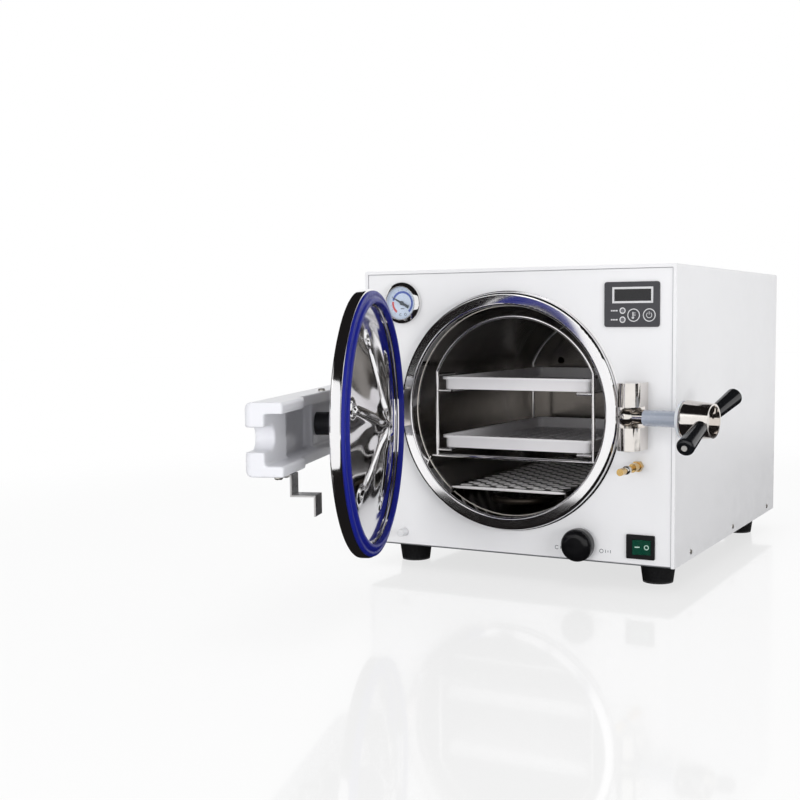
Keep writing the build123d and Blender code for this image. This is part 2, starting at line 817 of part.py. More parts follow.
# Tubular heater: a hairpin below the shelf, sealed by glands behind the chamber
with BuildPart() as heater_tube:
    heater_front = FRONT + HEATER_FRONT
    heater_back = BACK_OUT + HEATER_TAIL
    heater_z = AXIS_Z - HEATER_DROP
    left = CHAMBER_X - HEATER_HALF_W
    right = CHAMBER_X + HEATER_HALF_W
    with BuildLine():
        Line((left, heater_back, heater_z), (left, heater_front, heater_z))
        ThreePointArc(
            (left, heater_front, heater_z),
            (CHAMBER_X, heater_front - HEATER_HALF_W, heater_z),
            (right, heater_front, heater_z),
        )
        Line((right, heater_front, heater_z), (right, heater_back, heater_z))
    with BuildSketch(Plane(origin=(left, heater_back, heater_z), z_dir=(0, -1, 0))):
        Circle(HEATER_R)
    sweep()
    with BuildSketch(facing(BACK_OUT + GLAND_T)):
        with Locations(*heater_spots):
            Circle(GLAND_R)
    extrude(amount=GLAND_T)
save(heater_tube.part, "heater_tube")

shelf_z = AXIS_Z - SHELF_DROP
shelf_back = BORE_END - SHELF_BACK_GAP
shelf_l = shelf_back - FRONT
shelf_mid = (CHAMBER_X, FRONT + shelf_l / 2)
shelf_wall_z = AXIS_Z - sqrt((BORE_R - FIT) ** 2 - (SHELF_W / 2) ** 2)

# Shelf: slotted sheet whose turned-down sides stand on the chamber wall
with BuildPart() as chamber_shelf:
    with BuildSketch(Plane.XY.offset(shelf_z - SHELF_T)):
        with Locations(shelf_mid):
            Rectangle(SHELF_W, shelf_l)
        for stagger in (0, 1):
            columns = SHELF_COLUMNS - stagger
            rows = SHELF_ROWS - stagger
            with Locations(shelf_mid):
                with GridLocations(SLOT_STEP_X, SLOT_STEP_Y, columns, rows):
                    SlotOverall(SLOT_L, SLOT_W, mode=Mode.SUBTRACT)
    extrude(amount=SHELF_T)
    with BuildSketch(Plane.XY.offset(shelf_z - SHELF_LIP)):
        with Locations((CHAMBER_X, FRONT + SHELF_T / 2)):
            Rectangle(SHELF_W, SHELF_T)
    extrude(amount=SHELF_LIP)
    with BuildSketch(Plane.XY.offset(shelf_wall_z)):
        with Locations(shelf_mid):
            with GridLocations(SHELF_W - SHELF_T, 0, 2, 1):
                Rectangle(SHELF_T, shelf_l)
    extrude(amount=shelf_z - shelf_wall_z)
save(chamber_shelf.part, "chamber_shelf")

# ---- Rack and trays -------------------------------------------------------------------------------

rack_ys = [FRONT + RACK_FRONT, FRONT + RACK_FRONT + RACK_LENGTH]
rack_foot_z = AXIS_Z - RACK_DROP
rack_top_z = AXIS_Z + RACK_POST_TOP
arch_r = sqrt(RACK_HALF_W**2 + RACK_POST_TOP**2)
arch_start = degrees(asin(RACK_POST_TOP / arch_r))
rod_reach = sqrt((BORE_R - FIT) ** 2 - (RACK_DROP + ROD_R) ** 2)
runner_x = RACK_HALF_W - RUNNER_INSET
tray_bottoms = [AXIS_Z + rim - TRAY_H for rim in TRAY_RIM_ZS]
runner_zs = [bottom - FIT - RUNNER_R for bottom in tray_bottoms]


def rack_bars():
    """Straight bars of the rack: start, end and radius."""
    bars = []
    for y in rack_ys:
        left = CHAMBER_X - RACK_HALF_W
        right = CHAMBER_X + RACK_HALF_W
        foot = ((CHAMBER_X - rod_reach, y, rack_foot_z), (CHAMBER_X + rod_reach, y, rack_foot_z))
        bars.append((*foot, ROD_R))
        for x, inward in ((left, RUNNER_STUB), (right, -RUNNER_STUB)):
            bars.append(((x, y, rack_foot_z), (x, y, rack_top_z), ROD_R))
            for z in runner_zs:
                bars.append(((x, y, z), (x + inward, y, z), RUNNER_R))
    for side in (-1, 1):
        x = CHAMBER_X + side * runner_x
        for z in runner_zs:
            bars.append(((x, rack_ys[0], z), (x, rack_ys[1], z), RUNNER_R - RUN))
        x = CHAMBER_X + side * RACK_HALF_W
        stub_z = rack_top_z - 2 * ROD_R
        bars.append(((x, rack_ys[0], stub_z), (x, rack_ys[0] + RACK_STUB, stub_z), RUNNER_R))
    return bars


# Wire rack: two arched loops joined by the runners that carry the trays
with BuildPart() as rack:
    for bar_start, bar_end, bar_r in rack_bars():
        add(bar(bar_start, bar_end, bar_r))
    for y in rack_ys:
        arch_low = arch_start - ARCH_OVERLAP
        with BuildLine(facing(y)):
            CenterArc((CHAMBER_X, AXIS_Z), arch_r, arch_low, 180 - 2 * arch_low)
        arch_x = CHAMBER_X + arch_r * cos(radians(arch_low))
        arch_z = AXIS_Z + arch_r * sin(radians(arch_low))
        tangent = (-sin(radians(arch_low)), 0, cos(radians(arch_low)))
        with BuildSketch(Plane(origin=(arch_x, y, arch_z), z_dir=tangent)):
            Circle(ROD_R)
        sweep()
save(rack.part, "rack")


def tray(bottom_z):
    """Perforated tray with a turned-out rim."""
    middle = (CHAMBER_X, FRONT + TRAY_FRONT + TRAY_L / 2)
    body_w = TRAY_W - 2 * TRAY_RIM
    body_l = TRAY_L - 2 * TRAY_RIM
    with BuildPart() as made:
        with BuildSketch(Plane.XY.offset(bottom_z)):
            with Locations(middle):
                RectangleRounded(body_w, body_l, TRAY_CORNER)
        extrude(amount=TRAY_H)
        with BuildSketch(Plane.XY.offset(bottom_z + TRAY_H - TRAY_EDGE)):
            with Locations(middle):
                RectangleRounded(TRAY_W, TRAY_L, TRAY_CORNER + TRAY_RIM)
        extrude(amount=TRAY_EDGE)
        with BuildSketch(Plane.XY.offset(bottom_z + TRAY_H - TRAY_EDGE)):
            with Locations(middle):
                RectangleRounded(TRAY_W - 2 * TRAY_T, TRAY_L - 2 * TRAY_T, TRAY_CORNER + TRAY_RIM - TRAY_T)
                RectangleRounded(body_w, body_l, TRAY_CORNER, mode=Mode.SUBTRACT)
        extrude(amount=TRAY_EDGE - TRAY_T, mode=Mode.SUBTRACT)
        with BuildSketch(Plane.XY.offset(bottom_z + TRAY_T)):
            with Locations(middle):
                RectangleRounded(body_w - 2 * TRAY_T, body_l - 2 * TRAY_T, TRAY_CORNER - TRAY_T)
        extrude(amount=TRAY_H, mode=Mode.SUBTRACT)
        with BuildSketch(Plane.XY.offset(bottom_z)):
            with Locations(middle):
                with GridLocations(TRAY_HOLE_STEP, TRAY_HOLE_STEP, TRAY_COLUMNS, TRAY_ROWS):
                    Circle(TRAY_HOLE_R)
        extrude(amount=TRAY_T, mode=Mode.SUBTRACT)
    return made.part


for tray_name, tray_bottom in zip(("tray_upper", "tray_lower"), tray_bottoms):
    save(tray(tray_bottom), tray_name)

# ---- Hinge ----------------------------------------------------------------------------------------

# Hinge block: foot on the panel, shank and knuckle, with spigots through the panel to the yoke
with BuildPart() as hinge_block:
    with BuildSketch(facing(PANEL_FRONT)):
        with Locations((HINGE_X, AXIS_Z)):
            Rectangle(2 * HINGE_FOOT_HALF_W, HINGE_FOOT_H)
    extrude(amount=HINGE_FOOT_T)
    with BuildSketch(Plane.XY.offset(AXIS_Z - HINGE_BLOCK_H / 2)):
        with Locations((HINGE_X, (HINGE_Y + PANEL_FRONT) / 2)):
            Rectangle(2 * HINGE_BLOCK_HALF_W, PANEL_FRONT - HINGE_Y)
        with Locations((HINGE_X, HINGE_Y)):
            Circle(HINGE_BLOCK_HALF_W)
    extrude(amount=HINGE_BLOCK_H)
    with BuildSketch(facing(PANEL_BACK)):
        with Locations(*block_spots(HINGE_X, HINGE_PITCH)):
            Circle(SPIGOT_R)
    extrude(amount=PANEL_T)
    with BuildSketch(Plane.XY.offset(AXIS_Z - HINGE_BLOCK_H / 2)):
        with Locations((HINGE_X, HINGE_Y)):
            Circle(HINGE_PIN_R + RUN)
    extrude(amount=HINGE_BLOCK_H, mode=Mode.SUBTRACT)
save(hinge_block.part, "hinge_block")

# Hinge pin with a head above and a collar below the arm's ears
with BuildPart() as hinge_pin:
    pin_low = AXIS_Z - ARM_H / 2 - FIT
    pin_high = AXIS_Z + ARM_H / 2 + FIT
    with BuildSketch(Plane.XY.offset(pin_low)):
        with Locations((HINGE_X, HINGE_Y)):
            Circle(HINGE_PIN_R)
    extrude(amount=pin_high - pin_low)
    for head_low in (pin_low - HINGE_HEAD_H, pin_high):
        with BuildSketch(Plane.XY.offset(head_low)):
            with Locations((HINGE_X, HINGE_Y)):
                Circle(HINGE_HEAD_R)
        extrude(amount=HINGE_HEAD_H)
save(hinge_pin.part, "hinge_pin")

# ---- Door, made shut ------------------------------------------------------------------------------

door_face = FRONT - DOOR_FACE
door_rim_back = door_face - DOOR_RIM_T
door_apex = door_rim_back - DOOR_DOME
liner_back = door_face - LINER_SINK
liner_face = liner_back + LINER_T
liner_edge_r = LINER_R - LINER_FLAT
liner_apex = liner_face + LINER_RISE
liner_sphere = (liner_edge_r**2 + LINER_RISE**2) / (2 * LINER_RISE)
web_in = FRONT - ARM_OUT + ARM_WEB


def liner_y(radius, lift):
    """Depth of the liner's dome at a radius, lifted towards the chamber."""
    return liner_apex - liner_sphere + sqrt((liner_sphere + lift) ** 2 - radius**2)


# Door plate: thick rim with the seal's groove and the liner's seat, domed outwards, hollow towards the liner
with BuildPart() as door_plate:
    with BuildSketch(Plane(origin=(CHAMBER_X, 0, AXIS_Z))) as section:
        with BuildLine():
            Polyline(
                (0, door_apex + DOOR_WALL),
                (liner_edge_r - DOOR_WALL, door_face - DOOR_RIM_T / 2),
                (liner_edge_r, liner_back),
                (LINER_R + RUN, liner_back),
                (LINER_R + RUN, door_face),
                (DOOR_R, door_face),
                (DOOR_R, door_rim_back),
                (DOOR_DOME_R, door_rim_back),
            )
            TangentArc((0, door_apex), (DOOR_DOME_R, door_rim_back), tangent=(1, 0))
            Line((0, door_apex), (0, door_apex + DOOR_WALL))
        make_face()
        fillet(section.vertices().sort_by(Axis.X)[-2:], DOOR_EDGE_FILLET)
        with Locations((SEAL_KEY_R, door_face - SEAL_KEY_DEPTH / 2)):
            Rectangle(2 * (SEAL_KEY_HALF + RUN), SEAL_KEY_DEPTH + 2 * RUN, mode=Mode.SUBTRACT)
    revolve(axis=CHAMBER_AXIS)
    with BuildSketch(facing(door_face)):
        with Locations((CHAMBER_X, AXIS_Z)):
            Circle(CENTRE_BOLT_R + RUN)
    extrude(amount=DOOR_RIM_T + DOOR_DOME, mode=Mode.SUBTRACT)
save(opened(door_plate.part), "door_plate")

door_seal = turned(
    [
        (SEAL_INNER_R, door_face),
        (SEAL_INNER_R, door_face + SEAL_LIP_H - SEAL_EDGE_H),
        (SEAL_INNER_R + SEAL_EDGE_H / 2, door_face + SEAL_LIP_H),
        (SEAL_LIP_R, door_face + SEAL_LIP_H),
        (SEAL_R, door_face + SEAL_EDGE_H),
        (SEAL_R, door_face),
        (SEAL_KEY_R + SEAL_KEY_HALF, door_face),
        (SEAL_KEY_R + SEAL_KEY_HALF, door_face - SEAL_KEY_DEPTH),
        (SEAL_KEY_R - SEAL_KEY_HALF, door_face - SEAL_KEY_DEPTH),
        (SEAL_KEY_R - SEAL_KEY_HALF, door_face),
    ],
    CHAMBER_X,
    AXIS_Z,
)
save(opened(door_seal), "door_seal")

# One pressed rib of the liner, from the middle to its dimple
with BuildPart() as liner_rib:
    rib_mid = (RIB_HUB_R / 2 + RIB_OUT) / 2
    with BuildSketch(Plane(origin=(CHAMBER_X, 0, AXIS_Z))):
        with BuildLine():
            ThreePointArc(
                (RIB_HUB_R / 2, liner_y(RIB_HUB_R / 2, RIB_H)),
                (rib_mid, liner_y(rib_mid, RIB_H)),
                (RIB_OUT, liner_y(RIB_OUT, RIB_H)),
            )
            Line((RIB_OUT, liner_y(RIB_OUT, RIB_H)), (RIB_OUT, liner_y(RIB_OUT, -LINER_T / 2)))
            ThreePointArc(
                (RIB_OUT, liner_y(RIB_OUT, -LINER_T / 2)),
                (rib_mid, liner_y(rib_mid, -LINER_T / 2)),
                (RIB_HUB_R / 2, liner_y(RIB_HUB_R / 2, -LINER_T / 2)),
            )
            Line(
                (RIB_HUB_R / 2, liner_y(RIB_HUB_R / 2, -LINER_T / 2)),
                (RIB_HUB_R / 2, liner_y(RIB_HUB_R / 2, RIB_H)),
            )
        make_face()
    extrude(amount=RIB_W / 2, both=True)
    with BuildSketch(facing(liner_y(RIB_OUT, -LINER_T / 2))):
        with Locations((CHAMBER_X + RIB_OUT, AXIS_Z)):
            Circle(DIMPLE_R)
    extrude(amount=-(RIB_H + LINER_T))

# Liner: thin polished dish bulging into the chamber, stiffened by ribs that meet in a hub
with BuildPart() as door_liner:
    with BuildSketch(Plane(origin=(CHAMBER_X, 0, AXIS_Z))):
        with BuildLine():
            Polyline((liner_edge_r, liner_back), (LINER_R, liner_back), (LINER_R, liner_face))
            Line((LINER_R, liner_face), (liner_edge_r, liner_face))
            TangentArc((0, liner_apex), (liner_edge_r, liner_face), tangent=(1, 0))
            Line((0, liner_apex), (0, liner_apex - LINER_T))
            TangentArc((0, liner_apex - LINER_T), (liner_edge_r, liner_back), tangent=(1, 0))
        make_face()
    revolve(axis=CHAMBER_AXIS)
    for turn in range(RIB_COUNT):
        add(liner_rib.part.rotate(CHAMBER_AXIS, RIB_TURN + turn * 360 / RIB_COUNT))
    with BuildSketch(facing(liner_y(RIB_HUB_R, 0))):
        with Locations((CHAMBER_X, AXIS_Z)):
            Circle(RIB_HUB_R)
    extrude(amount=-(liner_apex + RIB_H - liner_y(RIB_HUB_R, 0)))
    dimple_y = liner_y(RIB_OUT, RIB_H) + DIMPLE_BALL_R - DIMPLE_DEPTH
    for turn in range(RIB_COUNT):
        angle = radians(RIB_TURN + turn * 360 / RIB_COUNT)
        dimple = (CHAMBER_X + RIB_OUT * cos(angle), dimple_y, AXIS_Z - RIB_OUT * sin(angle))
        with Locations(dimple):
            Sphere(DIMPLE_BALL_R, mode=Mode.SUBTRACT)
save(opened(door_liner.part), "door_liner")

# Hub between the arm's web and the door
with BuildPart() as hub_boss:
    with BuildSketch(facing(door_apex)):
        with Locations((CHAMBER_X, AXIS_Z)):
            Circle(BOSS_R)
            Circle(CENTRE_BOLT_R + FIT, mode=Mode.SUBTRACT)
    extrude(amount=door_apex - web_in)
save(opened(hub_boss.part), "hub_boss")

arm_out = FRONT - ARM_OUT

# Centre bolt: cap head on the arm's outer face, shank through the hub into the door plate
with BuildPart() as centre_bolt:
    with BuildSketch(facing(arm_out)):
        with Locations((CHAMBER_X, AXIS_Z)):
            Circle(CENTRE_HEAD_R)
    extrude(amount=CENTRE_HEAD_H)
    fillet(centre_bolt.faces().sort_by(Axis.Y)[0].edges(), CENTRE_HEAD_H / 2)
    with BuildSketch(facing(door_apex + DOOR_WALL)):
        with Locations((CHAMBER_X, AXIS_Z)):
            Circle(CENTRE_BOLT_R)
    extrude(amount=door_apex + DOOR_WALL - arm_out)
save(opened(centre_bolt.part), "centre_bolt")

arm_low = AXIS_Z - ARM_H / 2
channel_h = ARM_H - 2 * ARM_FLANGE
arm_neck_end = HINGE_X + ARM_NECK_X
arm_screw_spots = [
    (CHAMBER_X, FRONT - ARM_TOP_SCREW_OUT, AXIS_Z + ARM_H / 2, 1),
    (ARM_LOW_SCREW_X, FRONT - ARM_LOW_SCREW_OUT, arm_low, -1),
    (BRACKET_X + BRACKET_W / 2, FRONT - BRACKET_SCREW_OUT, arm_low - BRACKET_T, -1),
]

# Door arm: cast channel open towards the door, with a deeper pocket, eared at the hinge and forked at the end
with BuildPart() as door_arm:
    with BuildSketch(Plane.XY.offset(arm_low)):
        with BuildLine():
            Polyline(
                (arm_neck_end, arm_out),
                (ARM_END, arm_out),
                (ARM_END, FRONT - ARM_PAD_IN),
                (ARM_PAD_START, FRONT - ARM_PAD_IN),
                (ARM_PAD_START, FRONT - ARM_FLANGE_IN),
                (arm_neck_end, FRONT - ARM_FLANGE_IN),
                close=True,
            )
        make_face()
    extrude(amount=ARM_H)
    with BuildSketch(Plane.XY.offset(arm_low)):
        with BuildLine():
            CenterArc((HINGE_X, HINGE_Y), ARM_EAR_R, 0, 360)
            Line((arm_neck_end, arm_out), (arm_neck_end, FRONT - ARM_FLANGE_IN))
        make_hull()
    extrude(amount=ARM_H)
    long_edges = door_arm.edges().filter_by(Axis.X).group_by(Axis.Y)[0]
    end_edges = door_arm.edges().filter_by(Axis.Z).group_by(Axis.X)[-1].sort_by(Axis.Y)[0]
    fillet(long_edges + ShapeList([end_edges]), ARM_EDGE_R)
    with BuildSketch(facing(FRONT)):
        with Locations(((HINGE_X + ARM_END) / 2, AXIS_Z)):
            Rectangle(2 * CASE_W, channel_h)
    extrude(amount=ARM_OUT - ARM_WEB, mode=Mode.SUBTRACT)
    with BuildSketch(facing(FRONT)):
        with Locations(((ARM_POCKET_START + ARM_POCKET_END) / 2, AXIS_Z)):
            Rectangle(ARM_POCKET_END - ARM_POCKET_START, channel_h)
    extrude(amount=ARM_OUT - ARM_POCKET_WEB, mode=Mode.SUBTRACT)
    with BuildSketch(facing(FRONT)):
        with Locations((HINGE_X + ARM_WEB_CUT - ARM_NECK_X / 2, AXIS_Z)):
            Rectangle(ARM_NECK_X, channel_h)
        with Locations((ARM_END - ARM_SLOT_DEPTH + ARM_SLOT_H / 2, AXIS_Z)):
            Circle(ARM_SLOT_H / 2)
        with Locations((ARM_END, AXIS_Z)):
            Rectangle(2 * ARM_SLOT_DEPTH - ARM_SLOT_H, ARM_SLOT_H)
        with Locations((CHAMBER_X, AXIS_Z)):
            Circle(CENTRE_BOLT_R + RUN)
    extrude(amount=2 * ARM_OUT, mode=Mode.SUBTRACT)
    with BuildSketch(Plane.XY.offset(arm_low)):
        with Locations((HINGE_X, HINGE_Y)):
            Circle(HINGE_PIN_R + RUN)
    extrude(amount=ARM_H, mode=Mode.SUBTRACT)
    for x, y, z, up in arm_screw_spots:
        with BuildSketch(Plane.XY.offset(z)):
            with Locations((x, y)):
                Circle(ARM_SCREW_R + RUN)
        extrude(amount=-up * ARM_SCREW_L, mode=Mode.SUBTRACT)
save(opened(door_arm.part), "door_arm")

# Interlock bracket: bent strip below the arm that reaches in beside the lock pin
with BuildPart() as interlock_bracket:
    strip_x = BRACKET_X
    bend_y = FRONT - ARM_PAD_IN
    shelf_low = arm_low - BRACKET_DROP
    tail_y = bend_y + BRACKET_REACH
    with BuildSketch(beside(strip_x)):
        with BuildLine():
            Polyline(
                (bend_y - BRACKET_TAB, arm_low),
                (bend_y, arm_low),
                (bend_y, shelf_low),
                (tail_y, shelf_low),
                (tail_y, shelf_low - BRACKET_TAIL),
                (tail_y - BRACKET_T, shelf_low - BRACKET_TAIL),
                (tail_y - BRACKET_T, shelf_low - BRACKET_T),
                (bend_y - BRACKET_T, shelf_low - BRACKET_T),
                (bend_y - BRACKET_T, arm_low - BRACKET_T),
                (bend_y - BRACKET_TAB, arm_low - BRACKET_T),
                close=True,
            )
        make_face()
    extrude(amount=BRACKET_W)
    with BuildSketch(Plane.XY.offset(arm_low - BRACKET_T)):
        with Locations((BRACKET_X + BRACKET_W / 2, FRONT - BRACKET_SCREW_OUT)):
            Circle(ARM_SCREW_R + RUN)
    extrude(amount=BRACKET_T, mode=Mode.SUBTRACT)
save(opened(interlock_bracket.part), "interlock_bracket")

# Small screws of the arm: one on top over the hub, one below the fork, one in the bracket
with BuildPart() as arm_screws:
    for x, y, z, up in arm_screw_spots:
        with BuildSketch(Plane.XY.offset(z)):
            with Locations((x, y)):
                Circle(ARM_SCREW_HEAD_R)
        extrude(amount=up * ARM_SCREW_HEAD_H)
        with BuildSketch(Plane.XY.offset(z)):
            with Locations((x, y)):
                Circle(ARM_SCREW_R)
        extrude(amount=-up * ARM_SCREW_L)
save(opened(arm_screws.part), "arm_screws")

# ---- Clamp ----------------------------------------------------------------------------------------

# Clamp block: upright bar with a rounded front, slotted across for the bolt's eye
with BuildPart() as clamp_block:
    with BuildSketch(Plane.XY.offset(AXIS_Z - CLAMP_LOW)):
        with Locations((CLAMP_X, (CLAMP_Y + PANEL_FRONT) / 2)):
            Rectangle(2 * CLAMP_R, PANEL_FRONT - CLAMP_Y)
        with Locations((CLAMP_X, CLAMP_Y)):
            Circle(CLAMP_R)
    extrude(amount=CLAMP_LOW + CLAMP_HIGH)
    with BuildSketch(facing(PANEL_FRONT - CLAMP_WEB)):
        with Locations((CLAMP_X, AXIS_Z)):
            Rectangle(2 * CLAMP_R, CLAMP_SLOT_H)
    extrude(amount=CLAMP_OUT + CLAMP_R, mode=Mode.SUBTRACT)
    with BuildSketch(Plane.XY.offset(AXIS_Z - CLAMP_LOW)):
        with Locations((PIVOT_X, PIVOT_Y)):
            Circle(PIVOT_R + RUN)
    extrude(amount=CLAMP_LOW + CLAMP_HIGH, mode=Mode.SUBTRACT)
    with BuildSketch(facing(PANEL_BACK)):
        with Locations(*block_spots(CLAMP_X, CLAMP_PITCH)):
            Circle(SPIGOT_R)
    extrude(amount=PANEL_T)
save(clamp_block.part, "clamp_block")

# Pivot pin of the bolt, a little long below the block
with BuildPart() as bolt_pivot_pin:
    with BuildSketch(Plane.XY.offset(AXIS_Z - CLAMP_LOW - PIVOT_TAIL)):
        with Locations((PIVOT_X, PIVOT_Y)):
            Circle(PIVOT_R)
    extrude(amount=PIVOT_TAIL + CLAMP_LOW + CLAMP_HIGH)
save(bolt_pivot_pin.part, "bolt_pivot_pin")

# Swing bolt: ball eye round the pin, neck and threaded shank
with BuildPart() as swing_bolt:
    add(
        turned_on_bolt(
            [
                (0, 0),
                (0, BOLT_NECK_R),
                (SLEEVE_START, BOLT_NECK_R),
                (SLEEVE_START, BOLT_R),
                (BOLT_END - BOLT_CHAMFER, BOLT_R),
                (BOLT_END, BOLT_R - BOLT_CHAMFER),
                (BOLT_END, 0),
            ]
        )
    )
    with Locations((PIVOT_X, PIVOT_Y, AXIS_Z)):
        Sphere(EYE_R)
        Cylinder(PIVOT_R + RUN, 2 * EYE_R, mode=Mode.SUBTRACT)
save(swung(swing_bolt.part), "swing_bolt")

bolt_sleeve = turned_on_bolt(
    [
        (SLEEVE_START, BOLT_R + RUN),
        (SLEEVE_START, SLEEVE_R),
        (SLEEVE_END, SLEEVE_R),
        (SLEEVE_END, BOLT_R + RUN),
    ]
)
save(swung(bolt_sleeve), "bolt_sleeve")

thrust_washer = turned_on_bolt(
    [
        (WASHER_START, BOLT_R + RUN),
        (WASHER_START, WASHER_R),
        (WASHER_START + WASHER_T, WASHER_R),
        (WASHER_START + WASHER_T, BOLT_R + RUN),
    ]
)
save(swung(thrust_washer), "thrust_washer")

nut_end = NUT_START + NUT_L
grip_l = NUT_START + GRIP_ROOT_L
grip_planes = []
for side in (-1, 1):
    grip_direction = (
        sin(radians(GRIP_LEAN)),
        side * cos(radians(GRIP_LEAN)) * sin(radians(GRIP_TURN)),
        side * cos(radians(GRIP_LEAN)) * cos(radians(GRIP_TURN)),
    )
    grip_planes.append(Plane(origin=(PIVOT_X + grip_l, PIVOT_Y, AXIS_Z), z_dir=grip_direction))

# Clamp nut: tapered body with a rounded shoulder, a blind bore and a sunk end, and a stud for each grip
with BuildPart() as clamp_nut:
    with BuildSketch(Plane(origin=(PIVOT_X, PIVOT_Y, AXIS_Z))) as section:
        with BuildLine():
            Polyline(
                (NUT_START, BOLT_R + RUN),
                (NUT_START, NUT_R_IN),
                (nut_end, NUT_R_OUT),
                (nut_end, NUT_RECESS_R),
                (nut_end - NUT_RECESS, NUT_RECESS_R),
                (nut_end - NUT_RECESS, 0),
                (BOLT_END + NUT_BORE_OVER, 0),
                (BOLT_END + NUT_BORE_OVER, BOLT_R + RUN),
                close=True,
            )
        make_face()
        fillet(section.vertices().sort_by(Axis.Y)[-1], NUT_SHOULDER)
    revolve(axis=Axis((PIVOT_X, PIVOT_Y, AXIS_Z), (1, 0, 0)))
    for grip_plane in grip_planes:
        with BuildSketch(grip_plane.offset(STUD_START)):
            Circle(STUD_R)
        extrude(amount=STUD_END - STUD_START)
save(swung(clamp_nut.part), "clamp_nut")

nut_envelope = turned_on_bolt(
    [
        (NUT_START - FIT, 0),
        (NUT_START - FIT, NUT_R_IN + FIT),
        (nut_end + FIT, NUT_R_OUT + FIT),
        (nut_end + FIT, 0),
    ]
)

# Two tapered grips seated on the nut
with BuildPart() as nut_grips:
    for grip_plane in grip_planes:
        with BuildSketch(grip_plane.offset(STUD_START)):
            Circle(GRIP_ROOT_R)
        with BuildSketch(grip_plane.offset(GRIP_REACH)):
            Circle(GRIP_END_R)
        loft()
    add(nut_envelope, mode=Mode.SUBTRACT)
    grip_ends = nut_grips.edges().filter_by(GeomType.CIRCLE).sort_by(SortBy.RADIUS)[-2:]
    fillet(grip_ends, GRIP_END_FILLET)
    for grip_plane in grip_planes:
        with BuildSketch(grip_plane.offset(STUD_START)):
            Circle(STUD_R + RUN)
        extrude(amount=STUD_END - STUD_START + RUN, mode=Mode.SUBTRACT)
        with BuildSketch(grip_plane.offset(STUD_END)):
            Circle(GRIP_SCREW_R + RUN)
        extrude(amount=GRIP_REACH - STUD_END, mode=Mode.SUBTRACT)
save(swung(nut_grips.part), "nut_grips")

# Chrome screws in the ends of the grips
with BuildPart() as grip_screws:
    for grip_plane in grip_planes:
        with BuildSketch(grip_plane.offset(STUD_END + RUN)):
            Circle(GRIP_SCREW_R)
        extrude(amount=GRIP_REACH + GRIP_SCREW_H - STUD_END - RUN)
save(swung(grip_screws.part), "grip_screws")

# ---- Pressure gauge -------------------------------------------------------------------------------

gauge_mid = on_panel(GAUGE_X, GAUGE_Z)
gauge_front = PANEL_FRONT - GAUGE_PROUD
gauge_back = PANEL_FRONT + GAUGE_DEPTH
dial_r = GAUGE_R - GAUGE_BEZEL
dial_y = gauge_front + DIAL_DEPTH
gauge_stem_back = gauge_back + GAUGE_STEM_L

gauge_case = turned(
    [
        (0, dial_y + DIAL_T),
        (dial_r, dial_y + DIAL_T),
        (dial_r, gauge_front),
        (GAUGE_R - GAUGE_CHAMFER, gauge_front),
        (GAUGE_R, gauge_front + GAUGE_CHAMFER),
        (GAUGE_R, PANEL_FRONT),
        (GAUGE_BODY_R, PANEL_FRONT),
        (GAUGE_BODY_R, gauge_back),
        (GAUGE_STEM_R, gauge_back),
        (GAUGE_STEM_R, gauge_stem_back),
        (0, gauge_stem_back),
    ],
    *gauge_mid,
)
save(gauge_case, "gauge_case")

with BuildPart() as gauge_dial:
    with BuildSketch(facing(dial_y + DIAL_T)):
        with Locations(gauge_mid):
            Circle(dial_r - RUN)
    extrude(amount=DIAL_T)
save(gauge_dial.part, "gauge_dial")

with BuildPart() as gauge_glass:
    with BuildSketch(facing(gauge_front + GLASS_SET + GLASS_T)):
        with Locations(gauge_mid):
            Circle(dial_r - RUN)
    extrude(amount=GLASS_T)
save(gauge_glass.part, "gauge_glass")

# Needle: pointed blade with a wide tail on a round hub
with BuildPart() as gauge_needle:
    needle_plane = facing(dial_y - RUN)
    with BuildSketch(needle_plane):
        with Locations(gauge_mid):
            Circle(NEEDLE_HUB_R)
    extrude(amount=NEEDLE_HUB_L)
    with BuildSketch(needle_plane.offset(NEEDLE_LIFT)):
        with Locations(Location((*gauge_mid, 0), (0, 0, NEEDLE_ANGLE))):
            Polygon(
                (-NEEDLE_TAIL, -NEEDLE_TAIL_HALF),
                (0, -NEEDLE_HALF),
                (NEEDLE_TIP, 0),
                (0, NEEDLE_HALF),
                (-NEEDLE_TAIL, NEEDLE_TAIL_HALF),
                align=None,
            )
    extrude(amount=NEEDLE_T)
save(gauge_needle.part, "gauge_needle")

# ---- Display --------------------------------------------------------------------------------------

# Plate stuck on the panel, with openings for the window, the two lamps and the two buttons
with BuildPart() as display_panel:
    with BuildSketch(facing(PANEL_FRONT)):
        with Locations(display_mid):
            RectangleRounded(display_w, display_h, DISPLAY_R)
        with Locations(window_mid):
            Rectangle(window_w, window_h, mode=Mode.SUBTRACT)
        with Locations(*button_spots):
            Circle(BUTTON_R + FIT, mode=Mode.SUBTRACT)
        with Locations(*lamp_spots):
            Circle(LAMP_R + RUN, mode=Mode.SUBTRACT)
    extrude(amount=DISPLAY_T)
save(display_panel.part, "display_panel")

with BuildPart() as display_window:
    with BuildSketch(facing(PANEL_FRONT - DISPLAY_T + WINDOW_SET + WINDOW_T)):
        with Locations(window_mid):
            Rectangle(window_w - 2 * RUN, window_h - 2 * RUN)
    extrude(amount=WINDOW_T)
save(display_window.part, "display_window")

board_y = PANEL_BACK + BOARD_GAP
button_front = PANEL_FRONT - DISPLAY_T - BUTTON_PROUD

# Two lamps whose round ends show in the plate
with BuildPart() as indicator_lamps:
    with BuildSketch(facing(board_y)):
        with Locations(*lamp_spots):
            Circle(LAMP_R)
    extrude(amount=board_y - PANEL_FRONT + DISPLAY_T)
save(indicator_lamps.part, "indicator_lamps")


